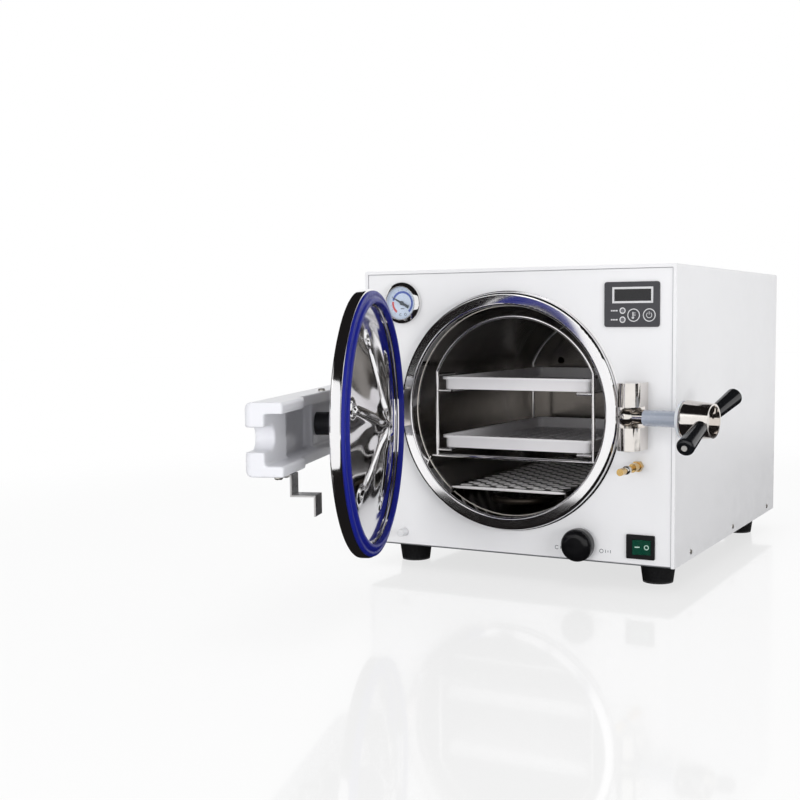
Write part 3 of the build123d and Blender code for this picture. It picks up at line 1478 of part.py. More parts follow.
def push_button(spot):
    """Round button with a collar that keeps it behind the plate."""
    with BuildPart() as made:
        with BuildSketch(facing(PANEL_FRONT + RUN)):
            with Locations(spot):
                Circle(BUTTON_R)
        extrude(amount=PANEL_FRONT + RUN - button_front)
        with BuildSketch(facing(PANEL_FRONT + RUN + BUTTON_COLLAR_T)):
            with Locations(spot):
                Circle(BUTTON_COLLAR_R)
        extrude(amount=BUTTON_COLLAR_T)
    return made.part


for button_name, button_spot in zip(("button_temperature", "button_power"), button_spots):
    save(push_button(button_spot), button_name)

# Control board: posts to the panel, read-out block behind the window, a switch behind each button
with BuildPart() as control_board:
    with BuildSketch(facing(board_y + BOARD_T)):
        with Locations(display_mid):
            Rectangle(display_w + 2 * BOARD_MARGIN, display_h + 2 * BOARD_MARGIN)
    extrude(amount=BOARD_T)
    with BuildSketch(facing(board_y)):
        with Locations(display_mid):
            with GridLocations(display_w, display_h, 2, 2):
                Circle(POST_R)
    extrude(amount=BOARD_GAP)
    with BuildSketch(facing(board_y)):
        with Locations(window_mid):
            Rectangle(window_w - WINDOW_INSET, window_h - WINDOW_INSET)
    extrude(amount=board_y - PANEL_FRONT + DISPLAY_T - WINDOW_SET - WINDOW_T - FIT)
    with BuildSketch(facing(board_y)):
        with Locations(*button_spots):
            Circle(POST_R)
    extrude(amount=board_y - PANEL_FRONT - RUN - BUTTON_COLLAR_T - BUTTON_TRAVEL - RUN)
save(control_board.part, "control_board")

# ---- Rocker switch --------------------------------------------------------------------------------

rocker_mid = on_panel((ROCKER_X0 + ROCKER_X1) / 2, (ROCKER_Z0 + ROCKER_Z1) / 2)
rocker_half = (ROCKER_X1 - ROCKER_X0) / 2
rocker_h = ROCKER_Z1 - ROCKER_Z0
rocker_y = PANEL_FRONT
rocker_bay_w = 2 * (rocker_half + ROCKER_SIDE)

# Switch frame: bezel on the panel and a closed body behind it, with two blade terminals
with BuildPart() as switch_frame:
    with BuildSketch(facing(PANEL_FRONT)):
        with Locations(switch_mid):
            RectangleRounded(switch_w, switch_h, SWITCH_CORNER)
    extrude(amount=SWITCH_PROUD)
    with BuildSketch(facing(PANEL_FRONT + SWITCH_DEPTH)):
        with Locations(switch_mid):
            Rectangle(switch_body_w, switch_body_h)
    extrude(amount=SWITCH_DEPTH)
    with BuildSketch(facing(PANEL_FRONT + ROCKER_BAY)):
        with Locations(rocker_mid):
            Rectangle(rocker_bay_w, rocker_h + 2 * FIT)
    extrude(amount=ROCKER_BAY + SWITCH_PROUD, mode=Mode.SUBTRACT)
    with BuildSketch(Plane.XY.offset(rocker_mid[1] - rocker_h / 2 - ROCKER_PIN_L)):
        with Locations((rocker_mid[0], rocker_y)):
            Circle(ROCKER_PIN_R + RUN)
    extrude(amount=rocker_h + 2 * ROCKER_PIN_L, mode=Mode.SUBTRACT)
    with BuildSketch(facing(PANEL_FRONT + SWITCH_DEPTH + BLADE_L)):
        with Locations(switch_mid):
            with GridLocations(switch_body_w / 2, 0, 2, 1):
                Rectangle(BLADE_T, BLADE_W)
    extrude(amount=BLADE_L)
save(switch_frame.part, "switch_frame")

# Rocker: shallow V front, narrower back, on two stub pins; its right side rests pressed in
with BuildPart() as switch_rocker:
    with BuildSketch(Plane.XY.offset(rocker_mid[1] - rocker_h / 2)):
        with Locations((rocker_mid[0], rocker_y)):
            Polygon(
                (-rocker_half, -ROCKER_EDGE),
                (0, -ROCKER_MIDDLE),
                (rocker_half, -ROCKER_EDGE),
                (rocker_half, 0),
                (ROCKER_BACK_HALF, ROCKER_BACK),
                (-ROCKER_BACK_HALF, ROCKER_BACK),
                (-rocker_half, 0),
                align=None,
            )
    extrude(amount=rocker_h)
    with BuildSketch(Plane.XY.offset(rocker_mid[1] - rocker_h / 2 - ROCKER_PIN_L + RUN)):
        with Locations((rocker_mid[0], rocker_y)):
            Circle(ROCKER_PIN_R)
    extrude(amount=rocker_h + 2 * (ROCKER_PIN_L - RUN))
rocker_axis = Axis((rocker_mid[0], rocker_y, 0), (0, 0, 1))
save(switch_rocker.part.rotate(rocker_axis, ROCKER_TILT), "switch_rocker")

# ---- Exhaust valve --------------------------------------------------------------------------------

knob_mid = on_panel(KNOB_X, KNOB_Z)
knob_front = FRONT - KNOB_FRONT
knob_back = PANEL_FRONT - COLLAR_T - KNOB_LIFT

with BuildPart() as valve_knob:
    with BuildSketch(facing(knob_back)):
        with Locations(knob_mid):
            Circle(KNOB_R)
    extrude(amount=knob_back - knob_front)
    fillet(valve_knob.faces().sort_by(Axis.Y)[0].edges(), KNOB_FILLET)
    fillet(valve_knob.faces().sort_by(Axis.Y)[-1].edges(), KNOB_BACK_FILLET)
    with BuildSketch(facing(PANEL_BACK + STEM_IN)):
        with Locations(knob_mid):
            Circle(STEM_R)
    extrude(amount=PANEL_BACK + STEM_IN - knob_back)
save(valve_knob.part, "valve_knob")

with BuildPart() as valve_collar:
    with BuildSketch(facing(PANEL_FRONT)):
        with Locations(knob_mid):
            Circle(COLLAR_R)
            Circle(STEM_R + FIT, mode=Mode.SUBTRACT)
    extrude(amount=COLLAR_T)
save(valve_collar.part, "valve_collar")

# Valve body behind the panel: stem bore in front, pipe socket behind
with BuildPart() as valve_body:
    with BuildSketch(facing(PANEL_BACK + VALVE_L)):
        with Locations(knob_mid):
            Circle(VALVE_R)
    extrude(amount=VALVE_L)
    with BuildSketch(facing(PANEL_BACK + STEM_IN + FIT)):
        with Locations(knob_mid):
            Circle(STEM_R + RUN)
    extrude(amount=STEM_IN + FIT, mode=Mode.SUBTRACT)
    with BuildSketch(facing(PANEL_BACK + VALVE_L)):
        with Locations(knob_mid):
            Circle(PIPE_R + RUN)
    extrude(amount=PIPE_SOCKET, mode=Mode.SUBTRACT)
save(valve_body.part, "valve_body")

# ---- Reset button and pressure lock ---------------------------------------------------------------

reset_mid = on_panel(RESET_X, RESET_Z)
with BuildPart() as reset_button:
    with BuildSketch(facing(PANEL_BACK + RESET_STEM)):
        with Locations(reset_mid):
            Circle(RESET_R)
    extrude(amount=PANEL_BACK + RESET_STEM - FRONT + RESET_PROUD)
    fillet(reset_button.faces().sort_by(Axis.Y)[0].edges(), RESET_FILLET)
save(reset_button.part, "reset_button")

with BuildPart() as reset_thermostat:
    with BuildSketch(facing(PANEL_BACK + RESET_BODY_L)):
        with Locations(reset_mid):
            Circle(RESET_BODY_R)
    extrude(amount=RESET_BODY_L)
    with BuildSketch(facing(PANEL_BACK + RESET_STEM + RESET_TRAVEL + FIT)):
        with Locations(reset_mid):
            Circle(RESET_R + RUN)
    extrude(amount=RESET_STEM + RESET_TRAVEL + FIT, mode=Mode.SUBTRACT)
save(reset_thermostat.part, "reset_thermostat")

lock_mid = on_panel(LOCK_X, LOCK_Z)
lock_barrel_back = PANEL_FRONT + LOCK_INNER_L
with BuildPart() as lock_fitting:
    with BuildSketch(facing(lock_barrel_back)):
        with Locations(lock_mid):
            Circle(LOCK_BARREL_R)
    extrude(amount=LOCK_BARREL_L + LOCK_INNER_L)
    with BuildSketch(facing(PANEL_FRONT)):
        with Locations(lock_mid):
            RegularPolygon(LOCK_HEX_R, 6)
    extrude(amount=LOCK_HEX_T)
    with BuildSketch(facing(lock_barrel_back - LOCK_WALL)):
        with Locations(lock_mid):
            Circle(LOCK_STEM_R + RUN)
    extrude(amount=LOCK_BARREL_L + LOCK_INNER_L - LOCK_WALL, mode=Mode.SUBTRACT)
save(lock_fitting.part, "lock_fitting")

lock_collar_y = FRONT - LOCK_COLLAR_OUT
lock_tip_y = FRONT - LOCK_OUT
lock_plunger = turned(
    [
        (0, lock_barrel_back - LOCK_WALL - FIT),
        (LOCK_STEM_R, lock_barrel_back - LOCK_WALL - FIT),
        (LOCK_STEM_R, lock_collar_y + LOCK_COLLAR_R),
        (LOCK_COLLAR_R, lock_collar_y + LOCK_STEM_R),
        (LOCK_COLLAR_R, lock_collar_y - LOCK_STEM_R),
        (LOCK_STEM_R, lock_collar_y - LOCK_COLLAR_R),
        (LOCK_STEM_R, lock_tip_y + LOCK_TIP_L),
        (LOCK_TIP_R, lock_tip_y + LOCK_TIP_L),
        (LOCK_TIP_R, lock_tip_y),
        (0, lock_tip_y),
    ],
    *lock_mid,
)
save(lock_plunger, "lock_plunger")

# ---- Steam pipes and rear fittings ----------------------------------------------------------------

# Manifold: block on a bored nipple from the chamber's port
with BuildPart() as steam_manifold:
    with BuildSketch(facing(MANIFOLD_Y + MANIFOLD / 2)):
        with Locations(port_mid):
            Rectangle(MANIFOLD, MANIFOLD)
    extrude(amount=MANIFOLD)
    with BuildSketch(facing(MANIFOLD_Y - MANIFOLD / 2)):
        with Locations(port_mid):
            Circle(NIPPLE_R)
    extrude(amount=MANIFOLD_Y - MANIFOLD / 2 - BACK_OUT)
    with BuildSketch(facing(MANIFOLD_Y)):
        with Locations(port_mid):
            Circle(PORT_R)
    extrude(amount=MANIFOLD_Y - BACK_OUT, mode=Mode.SUBTRACT)
save(steam_manifold.part, "steam_manifold")


def pipe(points):
    """Bent pipe along straight runs joined by arcs of the bend radius."""
    with BuildPart() as made:
        with BuildLine():
            FilletPolyline(*points, radius=PIPE_BEND)
        with BuildSketch(Plane(origin=points[0], z_dir=Vector(*points[1]) - Vector(*points[0]))):
            Circle(PIPE_R)
        sweep()
    return made.part


# Exhaust pipe down to the valve and gauge pipe up to the gauge, both from the manifold
with BuildPart() as steam_pipes:
    port_x, port_z = port_mid
    knob_x, knob_z = knob_mid
    gauge_x, gauge_z = gauge_mid
    add(
        pipe(
            [
                (port_x + MANIFOLD / 2, MANIFOLD_Y, port_z),
                (knob_x, MANIFOLD_Y, port_z),
                (knob_x, MANIFOLD_Y, knob_z),
                (knob_x, PANEL_BACK + VALVE_L - PIPE_SOCKET, knob_z),
            ]
        )
    )
    add(
        pipe(
            [
                (port_x - MANIFOLD / 2, MANIFOLD_Y, port_z),
                (gauge_x, MANIFOLD_Y, port_z),
                (gauge_x, MANIFOLD_Y, gauge_z),
                (gauge_x, gauge_stem_back, gauge_z),
            ]
        )
    )
save(steam_pipes.part, "steam_pipes")

safety_valve = turned(
    [
        (0, MANIFOLD_Y + MANIFOLD / 2),
        (NIPPLE_R, MANIFOLD_Y + MANIFOLD / 2),
        (NIPPLE_R, REAR_IN - SAFETY_SHOULDER),
        (SAFETY_R, REAR_IN - SAFETY_SHOULDER),
        (SAFETY_R, REAR_OUT),
        (SAFETY_CAP_R, REAR_OUT),
        (SAFETY_CAP_R, BACK + SAFETY_OUT / 2),
        (NIPPLE_R, BACK + SAFETY_OUT / 2),
        (NIPPLE_R, BACK + SAFETY_OUT),
        (0, BACK + SAFETY_OUT),
    ],
    *port_mid,
)
save(safety_valve, "safety_valve")

drain_nozzle = turned(
    [
        (DRAIN_BORE_R, BACK_OUT),
        (DRAIN_R, BACK_OUT),
        (DRAIN_R, REAR_OUT),
        (DRAIN_NUT_R, REAR_OUT),
        (DRAIN_NUT_R, REAR_OUT + DRAIN_NUT_T),
        (DRAIN_R, REAR_OUT + DRAIN_NUT_T),
        (DRAIN_BARB_R, BACK + DRAIN_OUT / 2),
        (DRAIN_R, BACK + DRAIN_OUT),
        (DRAIN_BORE_R, BACK + DRAIN_OUT),
    ],
    *drain_mid,
)
save(drain_nozzle, "drain_nozzle")

# Mains inlet: flanged three-pin socket through the rear panel
with BuildPart() as mains_inlet:
    with BuildSketch(facing(REAR_OUT + INLET_FLANGE_T)):
        with Locations(inlet_mid):
            RectangleRounded(INLET_W, INLET_H, INLET_CORNER)
    extrude(amount=INLET_FLANGE_T)
    with BuildSketch(facing(REAR_OUT)):
        with Locations(inlet_mid):
            Rectangle(INLET_BODY_W, INLET_BODY_H)
    extrude(amount=INLET_DEPTH)
    with BuildSketch(facing(REAR_OUT + INLET_FLANGE_T)):
        with Locations(inlet_mid):
            RectangleRounded(INLET_BAY_W, INLET_BAY_H, INLET_CORNER)
    extrude(amount=INLET_BAY, mode=Mode.SUBTRACT)
    with BuildSketch(facing(REAR_OUT)):
        with Locations(inlet_mid):
            with Locations((-PIN_PITCH, -PIN_DROP), (0, PIN_DROP), (PIN_PITCH, -PIN_DROP)):
                Rectangle(PIN_T, PIN_W)
    extrude(amount=INLET_BAY)
save(mains_inlet.part, "mains_inlet")

# Power board on posts, with its transformer
with BuildPart() as power_board:
    board_mid = (POWER_X, FRONT + POWER_Y)
    with BuildSketch(Plane.XY.offset(FLOOR_TOP + POWER_LIFT)):
        with Locations(board_mid):
            Rectangle(POWER_W, POWER_L)
    extrude(amount=BOARD_T)
    with BuildSketch(Plane.XY.offset(FLOOR_TOP)):
        with Locations(board_mid):
            with GridLocations(POWER_W - 4 * POST_R, POWER_L - 4 * POST_R, 2, 2):
                Circle(POST_R)
    extrude(amount=POWER_LIFT)
    with BuildSketch(Plane.XY.offset(FLOOR_TOP + POWER_LIFT + BOARD_T)):
        with Locations(board_mid):
            Rectangle(COIL_W, COIL_L)
    extrude(amount=COIL_H)
save(power_board.part, "power_board")
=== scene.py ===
import json
from math import cos, pi, radians, sin

import bmesh
import bpy
import numpy as np
from mathutils import Matrix, Vector


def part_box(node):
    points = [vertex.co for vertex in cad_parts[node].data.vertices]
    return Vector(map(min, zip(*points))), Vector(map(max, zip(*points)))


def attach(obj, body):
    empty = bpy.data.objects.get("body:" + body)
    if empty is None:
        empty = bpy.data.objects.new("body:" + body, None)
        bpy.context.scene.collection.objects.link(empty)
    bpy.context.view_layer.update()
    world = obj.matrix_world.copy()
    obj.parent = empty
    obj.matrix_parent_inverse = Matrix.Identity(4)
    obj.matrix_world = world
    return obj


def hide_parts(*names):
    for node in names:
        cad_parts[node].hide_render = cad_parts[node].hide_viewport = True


bl_info = {
    "name": "Steam sterilizer finishes",
    "version": (1, 0, 0),
    "blender": (4, 5, 0),
    "location": "3D View > Sidebar > Sterilizer",
    "description": "Finishes, pressed pieces and printed marks of a tabletop steam sterilizer",
    "category": "Object",
}

MM = 0.001

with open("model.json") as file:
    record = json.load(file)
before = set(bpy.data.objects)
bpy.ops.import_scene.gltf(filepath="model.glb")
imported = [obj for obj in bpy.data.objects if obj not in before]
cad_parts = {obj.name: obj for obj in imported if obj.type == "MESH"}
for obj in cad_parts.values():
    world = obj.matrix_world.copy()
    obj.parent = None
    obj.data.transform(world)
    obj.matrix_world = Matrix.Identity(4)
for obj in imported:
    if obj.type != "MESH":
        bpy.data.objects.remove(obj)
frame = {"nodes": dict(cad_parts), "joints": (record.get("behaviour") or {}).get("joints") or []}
bpy.context.view_layer.update()
JOINTS = {joint["name"]: joint for joint in frame["joints"]}


# ---- Places in the frame (millimetres) ------------------------------------------------------

def box_of(node):
    """Lowest and highest corner of a node."""
    return [np.array(corner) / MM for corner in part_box(node)]


def front_of(node):
    """Depth y of a node's foremost face."""
    return box_of(node)[0][1]


def middle_of(node):
    """Middle (x, z) of a node seen from the front."""
    return (sum(box_of(node)) / 2)[[0, 2]]


def pivot_of(joint):
    """Place (x, y, z) of a joint."""
    return np.array(JOINTS[joint]["pos_m"]) / MM


# ---- Sizes and colours ----------------------------------------------------------------------

def linear(colour):
    """Linear RGBA of an sRGB hex colour: the sRGB curve undone for each channel."""
    channels = np.array([int(colour[i:i + 2], 16) / 255 for i in (1, 3, 5)])
    straight = np.where(channels <= 0.04045, channels / 12.92, ((channels + 0.055) / 1.055) ** 2.4)
    return (*straight.tolist(), 1.0)


def length(name, text, default):
    """Property for a size, its default given in millimetres."""
    return bpy.props.FloatProperty(
        name=name, description=text, default=default * MM, min=0.0, unit="LENGTH"
    )


def tint(name, text, default):
    """Property for a colour, written as sRGB hex."""
    return bpy.props.FloatVectorProperty(
        name=name, description=text, default=linear(default), size=4, subtype="COLOR",
        min=0.0, max=1.0,
    )


def number(name, text, default):
    """Property for a whole number."""
    return bpy.props.IntProperty(name=name, description=text, default=default, min=0)


class CaseSizes(bpy.types.PropertyGroup):
    paint: tint("Paint", "Colour of the powder coat on the case", "#f1f1f3")
    # The seam is a grey line of painted shade in the gap round the front panel
    seam: length("Seam", "Width of the sealed seam round the front panel", 0.6)
    head_radius: length("Screw head radius", "Radius of the case screws' heads", 3.0)


class DoorSizes(bpy.types.PropertyGroup):
    seal: tint("Seal", "Colour of the silicone seal", "#121c86")
    arm_rounding: number("Arm rounding", "Passes of smoothing over the cast arm's edges", 4)
    rib_count: number("Ribs", "Pressed ribs of the liner", 6)
    rib_height: length("Rib height", "How far a rib stands out of the liner", 3.0)
    rib_width: length("Rib width", "Reach of a rib to either side of its ridge at the hub", 6.0)


class ClampSizes(bpy.types.PropertyGroup):
    sleeve: tint("Sleeve", "Colour of the soft sleeve over the bolt's thread", "#c9d2e2")


class DialSizes(bpy.types.PropertyGroup):
    working: tint("Working arc", "Colour of the dial's pressure arc", "#2f4db4")
    warning: tint("Warning arc", "Colour of the dial's lower arc", "#dc3c2e")
    arc_radius: length("Arc radius", "Outer radius of both arcs", 14.7)
    arc_width: length("Arc width", "Width of both arcs", 2.7)


class PrintSizes(bpy.types.PropertyGroup):
    ink: tint("Ink", "Colour of the lines printed on the display plate", "#d8d8da")
    line: length("Line", "Width of the printed lines", 1.1)
    depth: length("Ink depth", "Thickness of the printed ink", 0.06)


# ---- Nodes of a material --------------------------------------------------------------------

def add(tree, kind, inputs=None, **settings):
    """Add a shader node, set its properties, then fill its inputs with constants or links.  A node
    given for an input stands for its first output."""
    node = tree.nodes.new("ShaderNode" + kind)
    for name, value in settings.items():
        setattr(node, name, value)
    for name, value in (inputs or {}).items():
        if isinstance(value, bpy.types.Node):
            value = value.outputs[0]
        if isinstance(value, bpy.types.NodeSocket):
            tree.links.new(value, node.inputs[name])
        else:
            node.inputs[name].default_value = value
    return node


def blank(owner):
    """A new material or world with its node tree emptied, and that tree."""
    owner.use_nodes = True
    owner.node_tree.nodes.clear()
    return owner, owner.node_tree


# The colour sockets of a Mix node
MIX_A, MIX_B, MIX_OUT = 6, 7, 2


def surface(name, tones, patch_mm, rough, relief, grain, **shader):
    """Principled surface.  tones: two linear colours blended by noise of the patch's size.
    rough: (least, most, mm).  relief: (mm, depth mm) of noise, or with "cells" as a third value of
    round cells.  grain: (stretch of the tones, stretch of the relief)."""
    made, tree = blank(bpy.data.materials.new(name))
    place = add(tree, "TexCoord").outputs["Object"]
    tone_place, relief_place = [
        add(tree, "Mapping", {"Vector": place, "Scale": way}) for way in grain
    ]
    patches = add(
        tree,
        "TexNoise",
        {"Vector": tone_place, "Scale": 1 / (patch_mm * MM), "Detail": 4.0, "Roughness": 0.6},
    )
    tone = add(tree, "Mix", {0: patches, MIX_A: tones[0], MIX_B: tones[1]}, data_type="RGBA")
    least, most, wear_mm = rough
    wear = add(tree, "TexNoise", {"Vector": tone_place, "Scale": 1 / (wear_mm * MM), "Detail": 5.0})
    roughness = add(
        tree,
        "MapRange",
        {"Value": wear, "From Min": 0.3, "From Max": 0.7, "To Min": least, "To Max": most},
    )
    relief_mm, depth_mm, *cells = relief
    pattern = {"Vector": relief_place, "Scale": 1 / (relief_mm * MM)}
    if cells:
        height = add(tree, "TexVoronoi", {**pattern, "Smoothness": 0.6}, feature="SMOOTH_F1")
    else:
        height = add(tree, "TexNoise", {**pattern, "Detail": 3.0})
    bump = add(tree, "Bump", {"Height": height, "Strength": 1.0, "Distance": depth_mm * MM})
    inputs = {"Base Color": tone.outputs[MIX_OUT], "Roughness": roughness, "Normal": bump, **shader}
    body = add(tree, "BsdfPrincipled", inputs)
    add(tree, "OutputMaterial", {"Surface": body})
    return made


EVEN = (1.0, 1.0, 1.0)
ALONG_X = (0.04, 1.0, 1.0)
ALONG_Y = (1.0, 0.04, 1.0)
METAL = {"Metallic": 1.0}

# Sheet whose grain runs one way: the stretch of its tones and of its relief
ROLLED = {"tray_aluminium": (ALONG_Y, ALONG_Y), "bracket_steel": (EVEN, ALONG_X)}

# Slot of the record: name, tones, patch, rough, relief and shader as surface() takes them.  The
# tones are two hex colours, or the group and name of the setting that holds the colour.  Finer
# grains than 0.5 mm, as on nylon or ink, are drawn at 0.5 mm, the finest that shows
FINISHES = {
    # Powder coat: fine orange peel that softens a reflection without hiding it
    "white_paint": ("powder_coated_sheet", ("case", "paint"), 90, (0.3, 0.42, 14), (1.6, 0.02),
                    {"IOR": 1.5}),
    # Hot-dip zinc: large spangles that catch light differently
    "galvanised": ("hot_dip_zinc", ("#b9bdc0", "#8f9498"), 9, (0.35, 0.6, 7), (8, 0.05, "cells"), METAL),
    # Moulded rubber: dull, faintly pitted, without a clear highlight
    "black_rubber": ("moulded_rubber", ("#1a1a1c", "#101011"), 12, (0.55, 0.8, 3), (0.7, 0.05),
                     {"IOR": 1.52}),
    # Zinc plate on small screws: a grey sheen, dulled by handling
    "screw_steel": ("zinc_plated_screw", ("#e2dfd8", "#cdc9c1"), 3, (0.32, 0.48, 1), (0.6, 0.01), METAL),
    # Buffed to a mirror: a little waviness bends the reflections
    "polished_steel": ("mirror_buffed_stainless", ("#fbfafb", "#efeeef"), 70, (0.02, 0.045, 30),
                       (46, 0.035), METAL),
    # Drawn and pickled tube: smooth, a little grey, hardly any grain
    "chamber_steel": ("pickled_stainless_tube", ("#a8a4a0", "#8f8b87"), 70, (0.16, 0.24, 30), (20, 0.02),
                      METAL),
    # Needled wool: matt, lumpy and straw coloured
    "mineral_wool": ("needled_mineral_wool", ("#c9b98a", "#a8966a"), 5, (0.9, 1.0, 3), (2, 0.8), {}),
    # Annealed in use: straw and brown tints on dull steel
    "heater_sheath": ("annealed_heater_sheath", ("#6f665c", "#4b4540"), 20, (0.35, 0.55, 5), (1, 0.02),
                      METAL),
    # Bright plate on a smooth base: clear reflections, hardly bent
    "chrome": ("bright_chrome_plate", ("#f2f1f1", "#e2e1e1"), 30, (0.03, 0.08, 4), (14, 0.012), METAL),
    # Printed enamel: pale blue, even and without gloss
    "dial_face": ("printed_enamel_dial", ("#dae4f4", "#cedaee"), 14, (0.35, 0.5, 4), (1, 0.004), {}),
    # Drawn glass: only its edge and its highlight show
    "clear_glass": ("drawn_clear_glass", ("#dbe9f8", "#cfdff0"), 30, (0.02, 0.05, 8), (20, 0.01),
                    {"Alpha": 0.06, "IOR": 1.5}),
    # Chemically blackened brass: near black and satin
    "needle_black": ("blackened_brass", ("#111113", "#1b1b1d"), 4, (0.35, 0.5, 2), (0.5, 0.004), {}),
    # Printed film: flat charcoal with a fine satin tooth
    "display_grey": ("printed_polyester_film", ("#434347", "#3c3c40"), 18, (0.36, 0.5, 5), (0.6, 0.006),
                     {}),
    # Smoked acrylic: dark, with a clear soft highlight
    "window_black": ("smoked_acrylic", ("#1b1b1e", "#131315"), 20, (0.08, 0.16, 8), (12, 0.006),
                     {"IOR": 1.49}),
    # Frosted lens: grey while its lamp is off
    "lamp_clear": ("frosted_lamp_lens", ("#77777b", "#5f5f64"), 2, (0.3, 0.45, 1), (0.6, 0.01), {}),
    # Solder mask: deep green with a waxy sheen
    "board_green": ("solder_mask_laminate", ("#1d6b3c", "#175a32"), 8, (0.3, 0.45, 3), (1, 0.02), {}),
    # Moulded key: the plate's charcoal, a little rougher
    "button_grey": ("moulded_grey_key", ("#47474b", "#3e3e42"), 6, (0.4, 0.55, 2), (0.5, 0.008), {}),
    # Moulded nylon: black with a soft, broad highlight
    "switch_black": ("moulded_black_nylon", ("#151517", "#0e0e10"), 10, (0.3, 0.45, 3), (0.6, 0.01), {}),
    # Tinted polycarbonate: dark green that lets a little light in
    "rocker_green": ("tinted_polycarbonate", ("#0c4a38", "#0a3c2e"), 9, (0.12, 0.22, 4), (4, 0.01),
                     {"IOR": 1.58, "Transmission Weight": 0.12}),
    # Pressed phenolic: black with a broad, bright highlight
    "knob_black": ("moulded_phenolic", ("#121214", "#0b0b0d"), 16, (0.14, 0.26, 5), (0.9, 0.006),
                   {"IOR": 1.45}),
    # Moulded collar: mid grey and dull
    "collar_grey": ("moulded_grey_collar", ("#8f8f93", "#828287"), 10, (0.4, 0.55, 3), (0.6, 0.01), {}),
    # Turned brass: warm, its tool marks spread the highlights
    "brass": ("turned_brass", ("#e0c083", "#c9a565"), 6, (0.12, 0.28, 2), (0.7, 0.01), METAL),
    # Moulded nylon: soft white without a sharp highlight
    "button_white": ("moulded_white_nylon", ("#e6e6e8", "#d9d9dc"), 6, (0.35, 0.5, 2), (0.5, 0.008), {}),
    # Filled resin: cream and chalky
    "thermostat_cream": ("moulded_ceramic_filled_resin", ("#e6dfc8", "#d5cdb4"), 8, (0.45, 0.6, 3),
                         (0.7, 0.015), {}),
    # Drawn copper: red-brown, patchy from handling
    "copper_pipe": ("drawn_copper", ("#c9764e", "#9c5637"), 15, (0.2, 0.42, 5), (1, 0.01), METAL),
    # Moulded inlet: black and dull
    "inlet_black": ("moulded_black_inlet", ("#141416", "#0e0e10"), 12, (0.35, 0.5, 3), (0.6, 0.012), {}),
    # Silicone: soft sheen and a little light through the lip
    "seal_blue": ("moulded_silicone", ("door", "seal"), 25, (0.28, 0.42, 6), (2.5, 0.012),
                  {"IOR": 1.41, "Subsurface Weight": 0.08}),
    # Cast aluminium under gloss enamel: the casting shows through as slow waves
    "cast_white": ("enamelled_casting", ("#e3e3e8", "#dddee3"), 60, (0.28, 0.31, 40), (22, 0.004),
                   {"IOR": 1.5, "Coat Weight": 0.2}),
    # Blackened steel: near black with a faint sheen
    "hub_black": ("blackened_steel", ("#232328", "#17171b"), 8, (0.3, 0.48, 3), (0.8, 0.015), {}),
    # Sheared strip: rolling lines along it draw the highlight out
    "bracket_steel": ("sheared_stainless_strip", ("#cfcecd", "#b9b8b7"), 14, (0.26, 0.42, 4),
                      (0.7, 0.012), METAL),
    # Extruded vinyl: milky, so that the thread shows dimly
    "sleeve_clear": ("extruded_clear_vinyl", ("clamp", "sleeve"), 12, (0.18, 0.32, 4), (5, 0.02),
                     {"Alpha": 0.4, "IOR": 1.45}),
    # Turned nylon: cool white, lit a little from under the skin
    "nylon_white": ("turned_white_nylon", ("#d6d8dd", "#ccced4"), 8, (0.3, 0.42, 2), (0.6, 0.01),
                    {"IOR": 1.53, "Subsurface Weight": 0.1}),
    # Moulded bakelite: black with a sharp, polished highlight
    "grip_black": ("moulded_bakelite", ("#16181b", "#0f1012"), 14, (0.12, 0.24, 4), (1.1, 0.006),
                   {"IOR": 1.6}),
    # Anodised sheet: matt and pale, with faint rolling lines
    "tray_aluminium": ("satin_anodised_aluminium", ("#fbfafb", "#f3f1f4"), 40, (0.42, 0.52, 8),
                       (0.9, 0.008), {"Metallic": 0.08}),
    # Bright drawn wire: a thin clear reflection runs along it
    "rack_wire": ("bright_drawn_wire", ("#faf8f8", "#ecebea"), 10, (0.08, 0.16, 3), (3, 0.015), METAL),
}

# Rough, relief and shader of a printed ink
INK = ((0.4, 0.5, 2), (0.5, 0.002), {})

